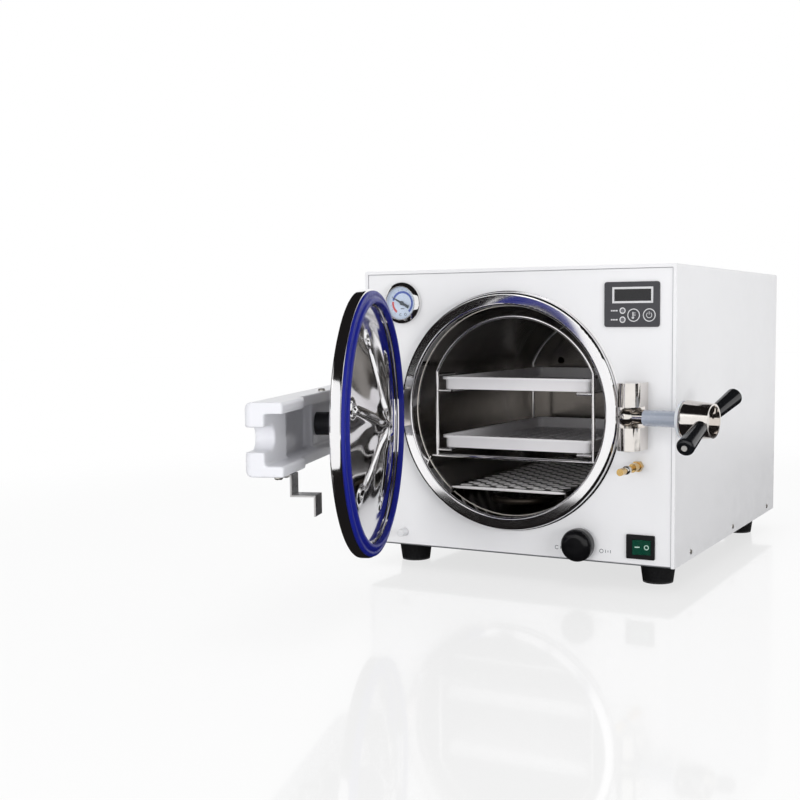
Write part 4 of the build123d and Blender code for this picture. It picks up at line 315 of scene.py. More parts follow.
# Finishes of details that take a slot of the record: slot first, then the same facts
DETAILS = {
    # Weld bead: the bead is real, and its pale, uneven line is a painted highlight
    "weld_steel": ("polished_steel", "bright_weld_bead", ("#f1ece3", "#e2dcd2"), 6, (0.12, 0.2, 2),
                   (2.5, 0.02), {"Metallic": 0.35}),
    # Fine turned steel: bright, the reflections just blurred
    "satin_steel": ("chrome", "satin_turned_steel", ("#f0ebe6", "#e3ded9"), 12, (0.08, 0.14, 5),
                    (6, 0.003), METAL),
    # Painted highlight: slot rims and the shelf's front edge are made pale and satin so that they show as
    # bright lines
    "rim_steel": ("chamber_steel", "burnished_slot_rim", ("#f4f2f1", "#e8e6e5"), 6, (0.4, 0.5, 2),
                  (1.5, 0.01), {"Metallic": 0.2}),
    # Painted shade: the port's brass is made dark olive brown to stand for the shade in its hole
    "dull_brass": ("brass", "oxidised_brass", ("#4f4634", "#3a3427"), 8, (0.4, 0.55, 3), (0.8, 0.02),
                   METAL),
    # Pressed or turned, then buffed on a wheel: reflections keep their place but lose their edge
    "buffed_ring": ("polished_steel", "wheel_buffed_stainless", ("#fbfafb", "#f0eff0"), 70,
                    (0.07, 0.09, 40), (60, 0.004), METAL),
    # Pressed sheet with painted shade: its steel is darkened to stand for the shade inside the chamber;
    # its slot rims carry a painted highlight
    "shelf_steel": ("chamber_steel", "steam_darkened_sheet", ("#6e6b68", "#5c5957"), 30, (0.24, 0.34, 8),
                    (4, 0.01), METAL),
    # Passivated zinc: pale and nearly matt
    "pale_zinc": ("chrome", "passivated_zinc", ("#dedcd8", "#cfccc7"), 4, (0.4, 0.5, 2), (0.6, 0.006),
                  {"Metallic": 0.5}),
    # A gap in shade: a soft grey line
    "seam_grey": ("white_paint", "shaded_panel_gap", ("#aeaeb2", "#a2a2a7"), 20, (0.6, 0.8, 6), (1, 0.01),
                  {}),
    # Dial and screen inks: flat colours with no relief of their own
    "dial_blue": ("dial_face", "blue_dial_ink", ("dial", "working"), 6, *INK),
    "dial_red": ("dial_face", "red_dial_ink", ("dial", "warning"), 6, *INK),
    "print_dark": ("dial_face", "dark_dial_ink", ("#3c4254", "#333848"), 4, *INK),
    "print_white": ("display_grey", "white_screen_ink", ("print", "ink"), 4, *INK),
    "print_mint": ("rocker_green", "pale_pad_ink", ("#b9d6cb", "#a9c9bd"), 4, *INK),
    "print_grey": ("white_paint", "grey_screen_ink", ("#6d6f78", "#61636c"), 4, *INK),
    # Chromed collar: small, clear reflections
    "lock_chrome": ("brass", "chromed_collar", ("#dcdad6", "#c8c6c2"), 4, (0.08, 0.16, 2), (0.5, 0.004),
                    METAL),
}


def tones_of(tones):
    """Both linear tones of a finish: its two hex colours, or the colour of its setting and the
    same 6% darker."""
    if tones[0].startswith("#"):
        return [linear(tone) for tone in tones]
    group, name = tones
    colour = np.array(getattr(getattr(bpy.context.scene, "sterilizer_" + group), name))
    return [colour.tolist(), (colour * (0.94, 0.94, 0.94, 1.0)).tolist()]


def finish(slot):
    """The material of a slot, made the first time it is asked for."""
    name, tones, *facts, shader = DETAILS[slot][1:] if slot in DETAILS else FINISHES[slot]
    grain = ROLLED.get(slot, (EVEN, EVEN))
    made = bpy.data.materials.get(name)
    return made or surface(name, tones_of(tones), *facts, grain, **shader)


# Nodes whose surface was worked in another way than the rest of their slot, and nodes whose finish
# carries painted shade
WORKED = {
    "clamp_block": "satin_steel",
    "hinge_block": "satin_steel",
    "swing_bolt": "satin_steel",
    "clamp_nut": "satin_steel",
    "grip_screws": "pale_zinc",
    "chamber_flange": "buffed_ring",
    # painted shade: the shelf's sheet steel is darkened for the shade inside the chamber
    "chamber_shelf": "shelf_steel",
    # painted shade: the port's brass is darkened for the shade in its hole
    "steam_manifold": "dull_brass",
}


def dress_nodes():
    """Give each CAD node the finish of the slot that it came in with, or the way it was worked."""
    for name, node in frame["nodes"].items():
        for holder in node.material_slots:
            if holder.material and holder.material.name in FINISHES:
                holder.material = finish(WORKED.get(name, holder.material.name))


# ---- Shapes from grids of points (millimetres) ----------------------------------------------

# The door's resting angle from shut, its hinge, the chamber's middle line, and the faces of the
# front panel and of the shut door, which stands 6 mm before the chamber's ring
OPEN_ANGLE = radians(-JOINTS["door_swing"]["range_deg"][0])
HINGE_X, HINGE_Y = pivot_of("door_swing")[:2]
CHAMBER_X, CHAMBER_Z = middle_of("chamber_tube")
PANEL_FRONT = front_of("front_panel")
DOOR_FACE = front_of("chamber_flange") - 6.0


def around(count):
    """Angles of so many even steps round a circle."""
    return np.linspace(0, 2 * pi, count, endpoint=False)


def quads(rows, columns, rows_closed=False, columns_closed=False):
    """Corners of a point grid's quads; a closed direction joins its last line to its first."""
    row, column = np.meshgrid(
        np.arange(rows if rows_closed else rows - 1),
        np.arange(columns if columns_closed else columns - 1),
        indexing="ij",
    )
    next_row, next_column = (row + 1) % rows, (column + 1) % columns
    corners = (
        row * columns + column,
        next_row * columns + column,
        next_row * columns + next_column,
        row * columns + next_column,
    )
    return np.stack(corners, -1).reshape(-1, 4)


def joined(*shapes):
    """One shape of several (points, faces) shapes: the faces of each count from its first point."""
    starts = np.cumsum([0] + [len(points) for points, _ in shapes[:-1]])
    points = np.concatenate([points for points, _ in shapes])
    faces = np.concatenate([faces + start for (_, faces), start in zip(shapes, starts)])
    return points, faces


def rounded(corners, rounds, steps=4):
    """Closed outline whose corners c become (1-s)^2 a + 2s(1-s) c + s^2 b, a and b being on the two
    sides at the corner's own round from c."""
    corner = np.array(corners, float)
    reach = np.array(rounds, float)[:, None]
    back = np.roll(corner, 1, 0) - corner
    ahead = np.roll(corner, -1, 0) - corner
    start = corner + back / np.linalg.norm(back, axis=1, keepdims=True) * reach
    end = corner + ahead / np.linalg.norm(ahead, axis=1, keepdims=True) * reach
    s = np.linspace(0, 1, steps + 1)[None, :, None]
    start, corner, end = start[:, None], corner[:, None], end[:, None]
    return ((1 - s) ** 2 * start + 2 * s * (1 - s) * corner + s ** 2 * end).reshape(-1, 2)


def revolved(outline, middle, turns=128, closed=True):
    """Outline of (radius r, depth y) turned about the line along Y through middle = (x, z):
    (x + r cos a, y, z + r sin a) for a from 0 to 360 degrees."""
    angle = around(turns)
    radius, depth = np.array(outline, float).T
    points = np.stack(
        [
            middle[0] + radius[:, None] * np.cos(angle),
            np.broadcast_to(depth[:, None], (len(radius), turns)),
            middle[1] + radius[:, None] * np.sin(angle),
        ],
        -1,
    )
    return points.reshape(-1, 3), quads(len(radius), turns, closed, True)


def band(outer, inner, depths, closed=True):
    """Flat strip between two outlines (x, z) of an upright face, over depths = (near, far)."""
    near, far = depths
    rows = len(outer)
    across = np.stack([outer, inner, inner, outer], 1)
    depth = np.broadcast_to(np.array([near, near, far, far]), (rows, 4))
    points = np.stack([across[..., 0], depth, across[..., 1]], -1).reshape(-1, 3)
    faces = quads(rows, 4, closed, True)
    if not closed:
        last = 4 * (rows - 1)
        faces = np.vstack([faces, [[0, 3, 2, 1], [last, last + 1, last + 2, last + 3]]])
    return points, faces


def arc(middle, radius, start=0.0, end=360.0, count=64):
    """Points (x, z) = middle + radius (cos a, sin a) from start to end, in degrees."""
    whole = end - start >= 360.0
    angle = np.radians(np.linspace(start, end, count, endpoint=not whole))
    return np.array(middle) + radius * np.stack([np.cos(angle), np.sin(angle)], -1)


SUNK = 0.02


def ink_depths(face, thickness):
    """Depths (near, far) of ink on an upright face, sunk a little so that no gap shows under it."""
    return face - thickness, face + SUNK


def printed_ring(middle, radius, width, depths, start=0.0, end=360.0):
    """Printed circle or arc of the given outer radius and width."""
    outer, inner = arc(middle, radius, start, end), arc(middle, radius - width, start, end)
    return band(outer, inner, depths, end - start >= 360.0)


def printed_box(box, width, depths):
    """Printed line round the inside of a box = (left, right, low, high)."""
    left, right, low, high = box
    outer = np.array([(left, low), (right, low), (right, high), (left, high)])
    return band(outer, outer + width * np.array([(1, 1), (-1, 1), (-1, -1), (1, -1)]), depths)


def printed_dash(middle, size, turn, depths):
    """Printed dash of size (length, width), turned by the given degrees."""
    half = np.array([[-0.5, 0.5], [0.5, 0.5], [-0.5, -0.5], [0.5, -0.5]]) * np.array(size)
    c, s = cos(radians(turn)), sin(radians(turn))
    spots = np.array(middle) + half @ np.array([[c, s], [-s, c]])
    return band(spots[:2], spots[2:], depths, False)


def swept(path, across, out, section):
    """Section (u, v) carried along a closed path: path + u across + v out."""
    u, v = np.array(section, float).T
    points = path[:, None] + u[None, :, None] * across[:, None] + v[None, :, None] * out[:, None]
    return points.reshape(-1, 3), quads(len(path), len(section), True, True)


def door_at_rest(points):
    """Points of the shut door turned about the hinge to the open resting place."""
    c, s = cos(-OPEN_ANGLE), sin(-OPEN_ANGLE)
    x, y = points[:, 0] - HINGE_X, points[:, 1] - HINGE_Y
    return np.stack([HINGE_X + c * x - s * y, HINGE_Y + s * x + c * y, points[:, 2]], -1)


def weld(mesh, reach):
    """Join the points of a mesh that lie within reach of each other and turn its faces outward."""
    work = bmesh.new()
    work.from_mesh(mesh)
    bmesh.ops.remove_doubles(work, verts=work.verts, dist=reach * MM)
    bmesh.ops.recalc_face_normals(work, faces=work.faces)
    work.to_mesh(mesh)
    work.free()


def placed(name, data):
    """A new object in the scene."""
    made = bpy.data.objects.new(name, data)
    bpy.context.scene.collection.objects.link(made)
    return made


def settle(name, mesh, slot, body, *nodes):
    """Show a new mesh in a slot's finish, riding on a body in place of the named nodes."""
    mesh.materials.clear()
    mesh.materials.append(finish(slot))
    made = placed(name, mesh)
    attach(made, body)
    if nodes:
        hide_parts(*nodes)


def piece(name, shape, slot, body, *nodes, sharp=35.0):
    """Welded smooth piece of a shape; edges over the sharp angle stay sharp."""
    points, faces = shape
    mesh = bpy.data.meshes.new(name)
    mesh.from_pydata((points * MM).tolist(), [], faces.tolist())
    weld(mesh, 0.001)
    mesh.shade_smooth()
    mesh.set_sharp_from_angle(angle=radians(sharp))
    settle(name, mesh, slot, body, *nodes)


def cast(node, slot, body, grain, rounds):
    """Copy of a door node's shut shape rebuilt on an even grid of the given grain, its edges rounded
    by as many passes of smoothing (each point moves halfway to the mean of its neighbours), then
    opened again."""
    hinge = Matrix.Translation((HINGE_X * MM, HINGE_Y * MM, 0))
    shut = hinge @ Matrix.Rotation(OPEN_ANGLE, 4, "Z") @ hinge.inverted()
    source = placed(node + "_shut", frame["nodes"][node].data.copy())
    source.data.transform(shut)
    weld(source.data, 0.005)
    grid = source.modifiers.new("grid", "REMESH")
    grid.mode = "VOXEL"
    grid.voxel_size = grain * MM
    soften = source.modifiers.new("soften", "SMOOTH")
    soften.factor = 0.5
    soften.iterations = rounds
    settled = source.evaluated_get(bpy.context.evaluated_depsgraph_get())
    mesh = bpy.data.meshes.new_from_object(settled)
    bpy.data.objects.remove(source)
    mesh.transform(shut.inverted())
    mesh.shade_smooth()
    settle(node + "_cast", mesh, slot, body, node)


# ---- Pieces of the door ---------------------------------------------------------------------

# Liner: depth of its flat, radius, sheet thickness, and the ribs' ends and first angle
LINER_LEVEL = DOOR_FACE - 2.8
LINER_RADIUS = 127.1
LINER_SHEET = 1.0
RIB_OUT = 93.0
RIB_FIRST = radians(-14.0)


def liner_shape(ribs, rib_height, rib_width):
    """Pressed dish over a polar grid (r, a) of the shut door, its depth y being the sum of
    level; dome = 13.5 (1 - (r/108)^2)^1.5; hub = 3.4 / (1 + (r/24)^6);
    ribs = h (1 - ((r-12)/84)^8) max exp(-((d/w)^2 + 0.12^2)^0.675), with d = r sin(a - a_k) on the
    rib's own side and w = width (0.32 + 8/(r+14));
    pads = 2.4 / (1 + (e/7.5)^8) - 3.9 exp(-(e/3.4)^2), e being the distance from a rib's end;
    pockets = -2.0 sin(pi r/104)^2 (1 - cos(n (a - a_0)))/2 between the ribs;
    rim = 1.6 ((r - R + 3)/3)^2 over the last 3 mm."""
    rows, columns = 104, 384
    r = np.linspace(0.0, LINER_RADIUS, rows)[:, None]
    a = around(columns)[None, :]
    depth = 13.5 * np.clip(1 - (r / 108) ** 2, 0, 1) ** 1.5 + 3.4 / (1 + (r / 24) ** 6) + 0 * a
    centre = RIB_FIRST + 2 * pi * np.arange(ribs)[:, None, None] / ribs
    sideways = r * np.sin(a - centre)
    ahead = r * np.cos(a - centre)
    width = rib_width * (0.32 + 8 / (r + 14))
    ridge = np.exp(-np.hypot(sideways / width, 0.12) ** 1.35) * (ahead > 0)
    along = np.clip(1 - np.abs((r - 12) / 84) ** 8, 0, 1)
    depth = depth + rib_height * along * ridge.max(0)
    far = np.hypot(ahead - RIB_OUT, sideways)
    depth = depth + (2.4 / (1 + (far / 7.5) ** 8) - 3.9 * np.exp(-((far / 3.4) ** 2))).sum(0)
    between = (1 - np.cos(ribs * (a - RIB_FIRST))) / 2
    depth = depth - 2.0 * np.sin(pi * np.clip(r / 104, 0, 1)) ** 2 * between
    depth = depth + 1.6 * np.clip((r - LINER_RADIUS + 3) / 3, 0, 1) ** 2
    x, z = CHAMBER_X + r * np.cos(a), CHAMBER_Z - r * np.sin(a)
    front = np.stack([x, LINER_LEVEL + depth, z], -1)
    back = front[::-1] - np.array([0.0, LINER_SHEET, 0.0])
    points = np.concatenate([front, back]).reshape(-1, 3)
    return door_at_rest(points), quads(2 * rows, columns, False, True)


def seal_shape():
    """Seal turned about the door's axis: a high inner lip, a hollow and a low outer lip, all softly
    rounded."""
    outline = rounded(
        [
            (127.6, 0.0), (127.6, 5.7), (132.2, 5.7), (134.4, 2.7), (138.0, 3.4), (140.4, 2.4),
            (140.5, 0.0), (136.5, 0.0), (136.5, -3.5), (131.5, -3.5), (131.5, 0.0),
        ],
        [0.3, 1.6, 1.6, 1.2, 1.2, 0.8, 0.3, 0.2, 0.3, 0.3, 0.2],
    )
    points, faces = revolved(outline + [0, DOOR_FACE], (CHAMBER_X, CHAMBER_Z), turns=192)
    return door_at_rest(points), faces


# Plate's edge, and the grid that the cast arm is rebuilt on
RIM_RADIUS = 142.0
RIM_DEEP = 12.0
ARM_GRAIN = 1.5


def rim_shape():
    """Polished band over the plate's edge, turned about the door's axis, 0.1 mm proud of it and
    softly rounded."""
    outline = rounded(
        [
            (RIM_RADIUS - 3.0, 0.05), (RIM_RADIUS + 0.1, 0.05),
            (RIM_RADIUS + 0.1, -RIM_DEEP - 0.05), (RIM_RADIUS - 3.0, -RIM_DEEP - 0.05),
        ],
        [0.2, 2.9, 2.9, 0.2],
        6,
    )
    points, faces = revolved(outline + [0, DOOR_FACE], (CHAMBER_X, CHAMBER_Z), turns=256)
    return door_at_rest(points), faces


class STERILIZER_OT_door(bpy.types.Operator):
    """Pressed liner, moulded seal, polished rim and cast arm of the door"""

    bl_idname = "sterilizer.door"
    bl_label = "Door"

    def execute(self, context):
        sizes = context.scene.sterilizer_door
        shape = liner_shape(sizes.rib_count, sizes.rib_height / MM, sizes.rib_width / MM)
        piece("pressed_liner", shape, "buffed_ring", "door", "door_liner", sharp=60)
        piece("moulded_seal", seal_shape(), "seal_blue", "door", "door_seal", sharp=60)
        piece("polished_rim", rim_shape(), "buffed_ring", "door", sharp=60)
        cast("door_arm", "cast_white", "door", ARM_GRAIN, sizes.arm_rounding)
        return {"FINISHED"}


# ---- Screws ---------------------------------------------------------------------------------

def cross_head(radius, height, shank, reach):
    """Pan head on a shank over a polar grid, axis +Z from the seat, of height
    h (0.35 + 0.65 (1 - (r/R)^4)^(1/2)), sunk 0.6 h inside a cross of arms 0.15 R half wide and
    0.62 R long."""
    rows, columns = 14, 64
    r = np.linspace(0, radius, rows)[:, None]
    a = around(columns)[None, :]
    x, y = r * np.cos(a), r * np.sin(a)
    top = 0.35 * height + 0.65 * height * np.sqrt(np.clip(1 - (r / radius) ** 4, 0, 1)) + 0 * a
    narrow = np.minimum(np.abs(x), np.abs(y)) / (0.15 * radius)
    long = np.maximum(np.abs(x), np.abs(y)) / (0.62 * radius)
    top = top - 0.6 * height * (1 / (1 + narrow ** 6)) * (1 / (1 + long ** 12))
    cap = np.stack([x, y, top], -1)
    under = np.array([(radius, 0.0), (shank, 0.0), (shank, -reach), (0.0, -reach)])
    out, up = under[:, :1], under[:, 1:]
    skirt = np.stack([out * np.cos(a), out * np.sin(a), up + 0 * a], -1)
    points = np.concatenate([cap, skirt]).reshape(-1, 3)
    return points, quads(rows + len(under), columns, False, True)


def aimed(shape, seats, spin=25.0):
    """Copies of a shape made along +Z, one at each seat = (spot, way), its axis turned to the way
    and each copy spun by so many degrees more."""
    points, faces = shape
    copies = []
    for i, (spot, way) in enumerate(seats):
        spun = Matrix.Rotation(radians(spin * (i + 1)), 3, "Z")
        turn = np.array(Vector(way).to_track_quat("Z", "Y").to_matrix() @ spun)
        copies.append((points @ turn.T + np.array(spot), faces))
    return joined(*copies)


# Seats of the screws, with the way each head points
COVER_SCREWS = [
    ((side * 200.0, y, 37.0), (side, 0, 0)) for side in (-1, 1) for y in (-177.4, 10.5, 196.8)
]
ARM_SCREWS = [
    ((-121.53, -457.48, 234.0), (0, 0, 1)),
    ((-61.89, -619.95, 164.0), (0, 0, -1)),
    ((-72.75, -593.8, 162.4), (0, 0, -1)),
]


class STERILIZER_OT_screws(bpy.types.Operator):
    """Cross-recessed screws of the cover and the arm"""

    bl_idname = "sterilizer.screws"
    bl_label = "Screws"

    def execute(self, context):
        radius = context.scene.sterilizer_case.head_radius / MM
        cover = aimed(cross_head(radius, height=1.6, shank=1.5, reach=9.0), COVER_SCREWS)
        piece("cover_screws_crossed", cover, "screw_steel", "case", "cover_screws", sharp=45)
        arm = aimed(cross_head(4.0, height=2.6, shank=2.0, reach=8.9), ARM_SCREWS)
        piece("arm_screws_crossed", arm, "screw_steel", "door", "arm_screws", sharp=45)
        return {"FINISHED"}


# ---- Gauge ----------------------------------------------------------------------------------

GAUGE = pivot_of("needle_swing")[[0, 2]]
GAUGE_FRONT = front_of("gauge_case")
DIAL_FRONT = front_of("gauge_dial")
DIAL_RADIUS = 19.5
DIAL_INK = 0.06
# Start and end of the dial's arcs and places of its ticks, in degrees
WORKING_ARC = (-50, 166)
WARNING_ARC = (172, 233)
TICKS = range(-50, 234, 20)
TICK_SIZE = (1.6, 0.35)
BEZEL_RADIUS = 25.75
NEEDLE_TURN = 152.0
# Needle: its upper and lower face, and its half width at places from the tail's end to the tip
NEEDLE_DEPTHS = (DIAL_FRONT - 2.0, DIAL_FRONT - 1.3)
NEEDLE_WIDTHS = ((-10.5, 1.9), (-3.0, 1.5), (0.0, 1.3), (6.0, 0.95), (15.0, 0.35))


class STERILIZER_OT_gauge(bpy.types.Operator):
    """Rolled bezel, printed dial and needle of the pressure gauge"""

    bl_idname = "sterilizer.gauge"
    bl_label = "Gauge"

    def execute(self, context):
        sizes = context.scene.sterilizer_dial
        outline = rounded(
            [
                (0.0, 7.4), (DIAL_RADIUS, 7.4), (DIAL_RADIUS, 1.0), (20.3, 0.0), (25.0, 3.4),
                (BEZEL_RADIUS, 5.0), (BEZEL_RADIUS, 9.0), (23.0, 9.0), (23.0, 35.0), (5.0, 35.0),
                (5.0, 43.0), (0.0, 43.0),
            ],
            [0, 0, 0.5, 0.6, 0.8, 0.6, 0.2, 0.2, 0.5, 0.5, 0.3, 0],
        )
        shape = revolved(outline + [0, GAUGE_FRONT], GAUGE, closed=False)
        piece("gauge_bezel", shape, "chrome", "case", "gauge_case")
        depths = ink_depths(DIAL_FRONT, DIAL_INK)
        radius, width = sizes.arc_radius / MM, sizes.arc_width / MM
        working = printed_ring(GAUGE, radius, width, depths, *WORKING_ARC)
        piece("dial_arc", working, "dial_blue", "case")
        warning = printed_ring(GAUGE, radius, width, depths, *WARNING_ARC)
        piece("dial_low_arc", warning, "dial_red", "case")
        spots = arc(GAUGE, radius + TICK_SIZE[0], TICKS[0], TICKS[-1], len(TICKS))
        ticks = [printed_dash(at, TICK_SIZE, turn, depths) for at, turn in zip(spots, TICKS)]
        marks = [
            printed_dash((GAUGE[0], GAUGE[1] - 6.8), (5.0, 1.0), 0, depths),
            printed_ring((GAUGE[0] - 2.9, GAUGE[1] - 14.0), 1.7, 0.6, depths, 40, 320),
            printed_ring((GAUGE[0] + 4.0, GAUGE[1] - 13.6), 1.7, 0.6, depths),
        ]
        piece("dial_marks", joined(*ticks, *marks), "print_dark", "case")
        along = np.array([cos(radians(NEEDLE_TURN)), sin(radians(NEEDLE_TURN))])
        across = np.array([-along[1], along[0]])
        spine, half = (np.array(column)[:, None] for column in zip(*NEEDLE_WIDTHS))
        edges = [GAUGE + spine * along + side * half * across for side in (1, -1)]
        blade = band(*edges, NEEDLE_DEPTHS, False)
        piece("needle_blade", blade, "needle_black", "needle", "gauge_needle")
        hub = rounded([(0.0, -1.0), (2.6, -1.0), (2.6, 0.6), (0.0, 0.6)], [0, 0.6, 0.1, 0])
        cap = revolved(hub + [0, NEEDLE_DEPTHS[0]], GAUGE, turns=32, closed=False)
        piece("needle_cap", cap, "needle_black", "needle")
        return {"FINISHED"}


# ---- Prints on the display plate, the keys, the rocker and the panel ------------------------

# Front faces of the plate and of its keys; the middles of its signal lamps and keys, with the
# radius of the ring round each; the left, right, low and high side of its window
PLATE_FRONT = front_of("display_panel")
KEY_FRONT = front_of("button_temperature")
SIGNALS = ((138.0, 316.7), (138.0, 306.6))
SIGNAL_RING = 3.6
KEYS = (middle_of("button_temperature"), middle_of("button_power"))
KEY_RING = 7.35
WINDOW = (125.8, 173.6, 325.0, 343.0)
# The rocker's pivot and resting tilt, and the knob's middle
ROCKER = pivot_of("rocker_tilt")
ROCKER_TILT = radians(8.0)
KNOB = pivot_of("knob_turn")[[0, 2]]
# Bars that stand for words: place along the line and length
SIGNAL_BARS = ((-12.8, 2.0), (-10.1, 2.4), (-7.1, 2.6))
KNOB_BARS = ((-25.5, 3.6), (-22.5, 2.4), (30.0, 3.6), (33.0, 2.4), (36.0, 3.6))


def on_rocker(points):
    """Prints made about x = 0, lifted onto the V front y = -(2.4 + 1.6 |x|/10.4), then tilted with
    the rocker."""
    x = points[:, 0]
    y = points[:, 1] - (2.4 + 1.6 * np.abs(x) / 10.4)
    c, s = cos(ROCKER_TILT), sin(ROCKER_TILT)
    return ROCKER + np.stack([c * x - s * y, s * x + c * y, points[:, 2]], -1)


class STERILIZER_OT_prints(bpy.types.Operator):
    """Lines, rings and signs printed on the display plate, the keys, the rocker and the panel"""

    bl_idname = "sterilizer.prints"
    bl_label = "Prints"

    def execute(self, context):
        sizes = context.scene.sterilizer_print
        line, depth = sizes.line / MM, sizes.depth / MM
        depths = ink_depths(PLATE_FRONT, depth)
        # The window's line is the widest, and stands 0.1 above the other ink
        window_line = printed_box(WINDOW, 2.1 * line, (depths[0] - 0.1, depths[1] + 0.2))
        rings = [printed_ring(key, KEY_RING, line, depths) for key in KEYS]
        rings += [printed_ring(lamp, SIGNAL_RING, 1.2, depths) for lamp in SIGNALS]
        bars = [
            printed_dash((lamp[0] + at, lamp[1]), (size, 1.5), 0, depths)
            for lamp in SIGNALS
            for at, size in SIGNAL_BARS
        ]
        piece("display_print", joined(window_line, *rings, *bars), "print_white", "case")

        depths = ink_depths(KEY_FRONT, depth)
        x, z = KEYS[0]
        warmth = [
            printed_ring((x - 0.6, z - 2.6), 1.5, 1.3, depths),
            printed_dash((x - 0.6, z + 0.6), (5.6, 1.3), 90, depths),
            *[printed_dash((x + 1.5, z + up), (1.8, 0.5), 0, depths) for up in (2.6, 1.1, -0.4)],
        ]
        piece("temperature_sign", joined(*warmth), "print_white", "temperature_button")
        power = [
            printed_ring(KEYS[1], 3.4, 0.7, depths, 125, 415),
            printed_dash((KEYS[1][0], KEYS[1][1] + 2.4), (3.4, 0.7), 90, depths),
        ]
        piece("power_sign", joined(*power), "print_white", "power_button")

        signs = joined(
            printed_dash((-5.0, 0.2), (5.6, 1.2), 0, ink_depths(0, depth)),
            printed_ring((5.6, 0.2), 2.9, 1.0, ink_depths(0, depth)),
        )
        piece("rocker_signs", (on_rocker(signs[0]), signs[1]), "print_mint", "rocker")

        depths = ink_depths(PANEL_FRONT, depth)
        x, low = KNOB[0], KNOB[1] - 7.0
        signs = [
            printed_ring((x - 30.5, low), 2.5, 0.7, depths, 40, 320),
            printed_ring((x + 25.0, low), 2.5, 0.7, depths),
        ]
        bars = [printed_dash((x + at, low), (size, 0.8), 90, depths) for at, size in KNOB_BARS]
        piece("knob_signs", joined(*signs, *bars), "print_grey", "case")
        return {"FINISHED"}


# ---- Case, chamber and clamp ----------------------------------------------------------------

MOUTH_WELD_RADIUS, MOUTH_WELD_DEPTH = 124.9, -233.0
# The shelf's slots: the step between them across and along, and the length and width of one
SLOT_STEP_X, SLOT_STEP_Y = 24, 22
SLOT_LENGTH, SLOT_WIDTH = 14.0, 7.0
# Left, right, low and high side of the gap between the front panel and the cover
SEAM = (-195.75, 195.75, 29.4, 363.75)
SEAM_DEPTHS = (PANEL_FRONT - 0.12, PANEL_FRONT + 0.4)
LOCK_COLLAR = -278.0


def ellipse(wide, high, count):
    """Points (wide cos t, high sin t) of a bead's section."""
    return [(wide * cos(t), high * sin(t)) for t in around(count)]


def ring_path(middle, radius, depth, count):
    """Circle about a line along Y, with its outward and depth directions: path, across, out."""
    angle = around(count)
    out = np.stack([np.cos(angle), 0 * angle, np.sin(angle)], -1)
    path = np.array([middle[0], depth, middle[1]]) + radius * out
    return path, np.broadcast_to(np.array([0.0, 1.0, 0.0]), out.shape), out


def slot_rims(spots, level):
    """Flared rims of the shelf's slots: a low round bead carried along a line 0.2 outside the
    outline of each slot."""
    angle = around(20)
    out = np.stack([np.cos(angle), np.sin(angle), 0 * angle], -1)
    straight = np.sign(np.cos(angle)) * (SLOT_LENGTH - SLOT_WIDTH) / 2
    path = out * (SLOT_WIDTH / 2 + 0.2) + np.stack([straight, 0 * angle, 0 * angle], -1)
    up = np.broadcast_to(np.array([0.0, 0.0, 1.0]), out.shape)
    points, faces = swept(path, out, up, ellipse(0.75, 0.45, count=6))
    return joined(*[(points + np.array([x, y, level]), faces) for x, y in spots])


def shelf_bead(low, high):
    """Rolled front edge of the shelf: a rounded bar from end to end, its middle 0.1 before the edge
    and 1.6 under the top, of section (u, v) = (0.7 cos a, 1.7 sin a), shrunk as
    1 - 0.9 (2t - 1)^16 for t from 0 to 1 along it."""
    t = np.linspace(0, 1, 48)
    swell = 1 - 0.9 * np.abs(2 * t - 1) ** 16
    angle = around(12)
    x = low[0] + t * (high[0] - low[0])
    middle = np.stack([x, 0 * t + low[1] - 0.1, 0 * t + high[2] - 1.6], -1)
    ring = np.stack([0 * angle, 0.7 * np.cos(angle), 1.7 * np.sin(angle)], -1)
    points = middle[:, None] + swell[:, None, None] * ring[None]
    ends = np.stack([middle[:1].repeat(len(angle), 0), middle[-1:].repeat(len(angle), 0)])
    points = np.concatenate([ends[:1], points, ends[1:]]).reshape(-1, 3)
    return points, quads(len(t) + 2, len(angle), False, True)


def slot_grid(columns, rows, middle_y):
    """Middles of a grid of slots about the chamber's middle line."""
    across = [CHAMBER_X + SLOT_STEP_X * (i - (columns - 1) / 2) for i in range(columns)]
    along = [middle_y + SLOT_STEP_Y * (j - (rows - 1) / 2) for j in range(rows)]
    return [(x, y) for x in across for y in along]


class STERILIZER_OT_chamber(bpy.types.Operator):
    """Weld bead of the mouth, rims of the shelf's slots and the shelf's rolled front edge"""

    bl_idname = "sterilizer.chamber"
    bl_label = "Chamber"

    def execute(self, context):
        mouth = ring_path((CHAMBER_X, CHAMBER_Z), MOUTH_WELD_RADIUS, MOUTH_WELD_DEPTH, count=192)
        # the mouth's weld bead is pale as a painted highlight
        piece("mouth_weld", swept(*mouth, ellipse(0.9, 0.55, count=8)), "weld_steel", "case")
        low, high = box_of("chamber_shelf")
        middle_y = (low[1] + high[1]) / 2
        spots = slot_grid(6, 15, middle_y) + slot_grid(5, 14, middle_y)
        # the slot rims and the front bead carry a painted highlight in their pale finish
        piece("shelf_rims", slot_rims(spots, high[2]), "rim_steel", "case")
        piece("shelf_front_bead", shelf_bead(low, high), "rim_steel", "case")
        return {"FINISHED"}


class STERILIZER_OT_case(bpy.types.Operator):
    """Grey line of painted shade in the gap between the front panel and the cover"""

    bl_idname = "sterilizer.case"
    bl_label = "Case"

    def execute(self, context):
        sizes = context.scene.sterilizer_case
        seam = printed_box(SEAM, sizes.seam / MM, SEAM_DEPTHS)
        piece("panel_seam", seam, "seam_grey", "case")
        return {"FINISHED"}


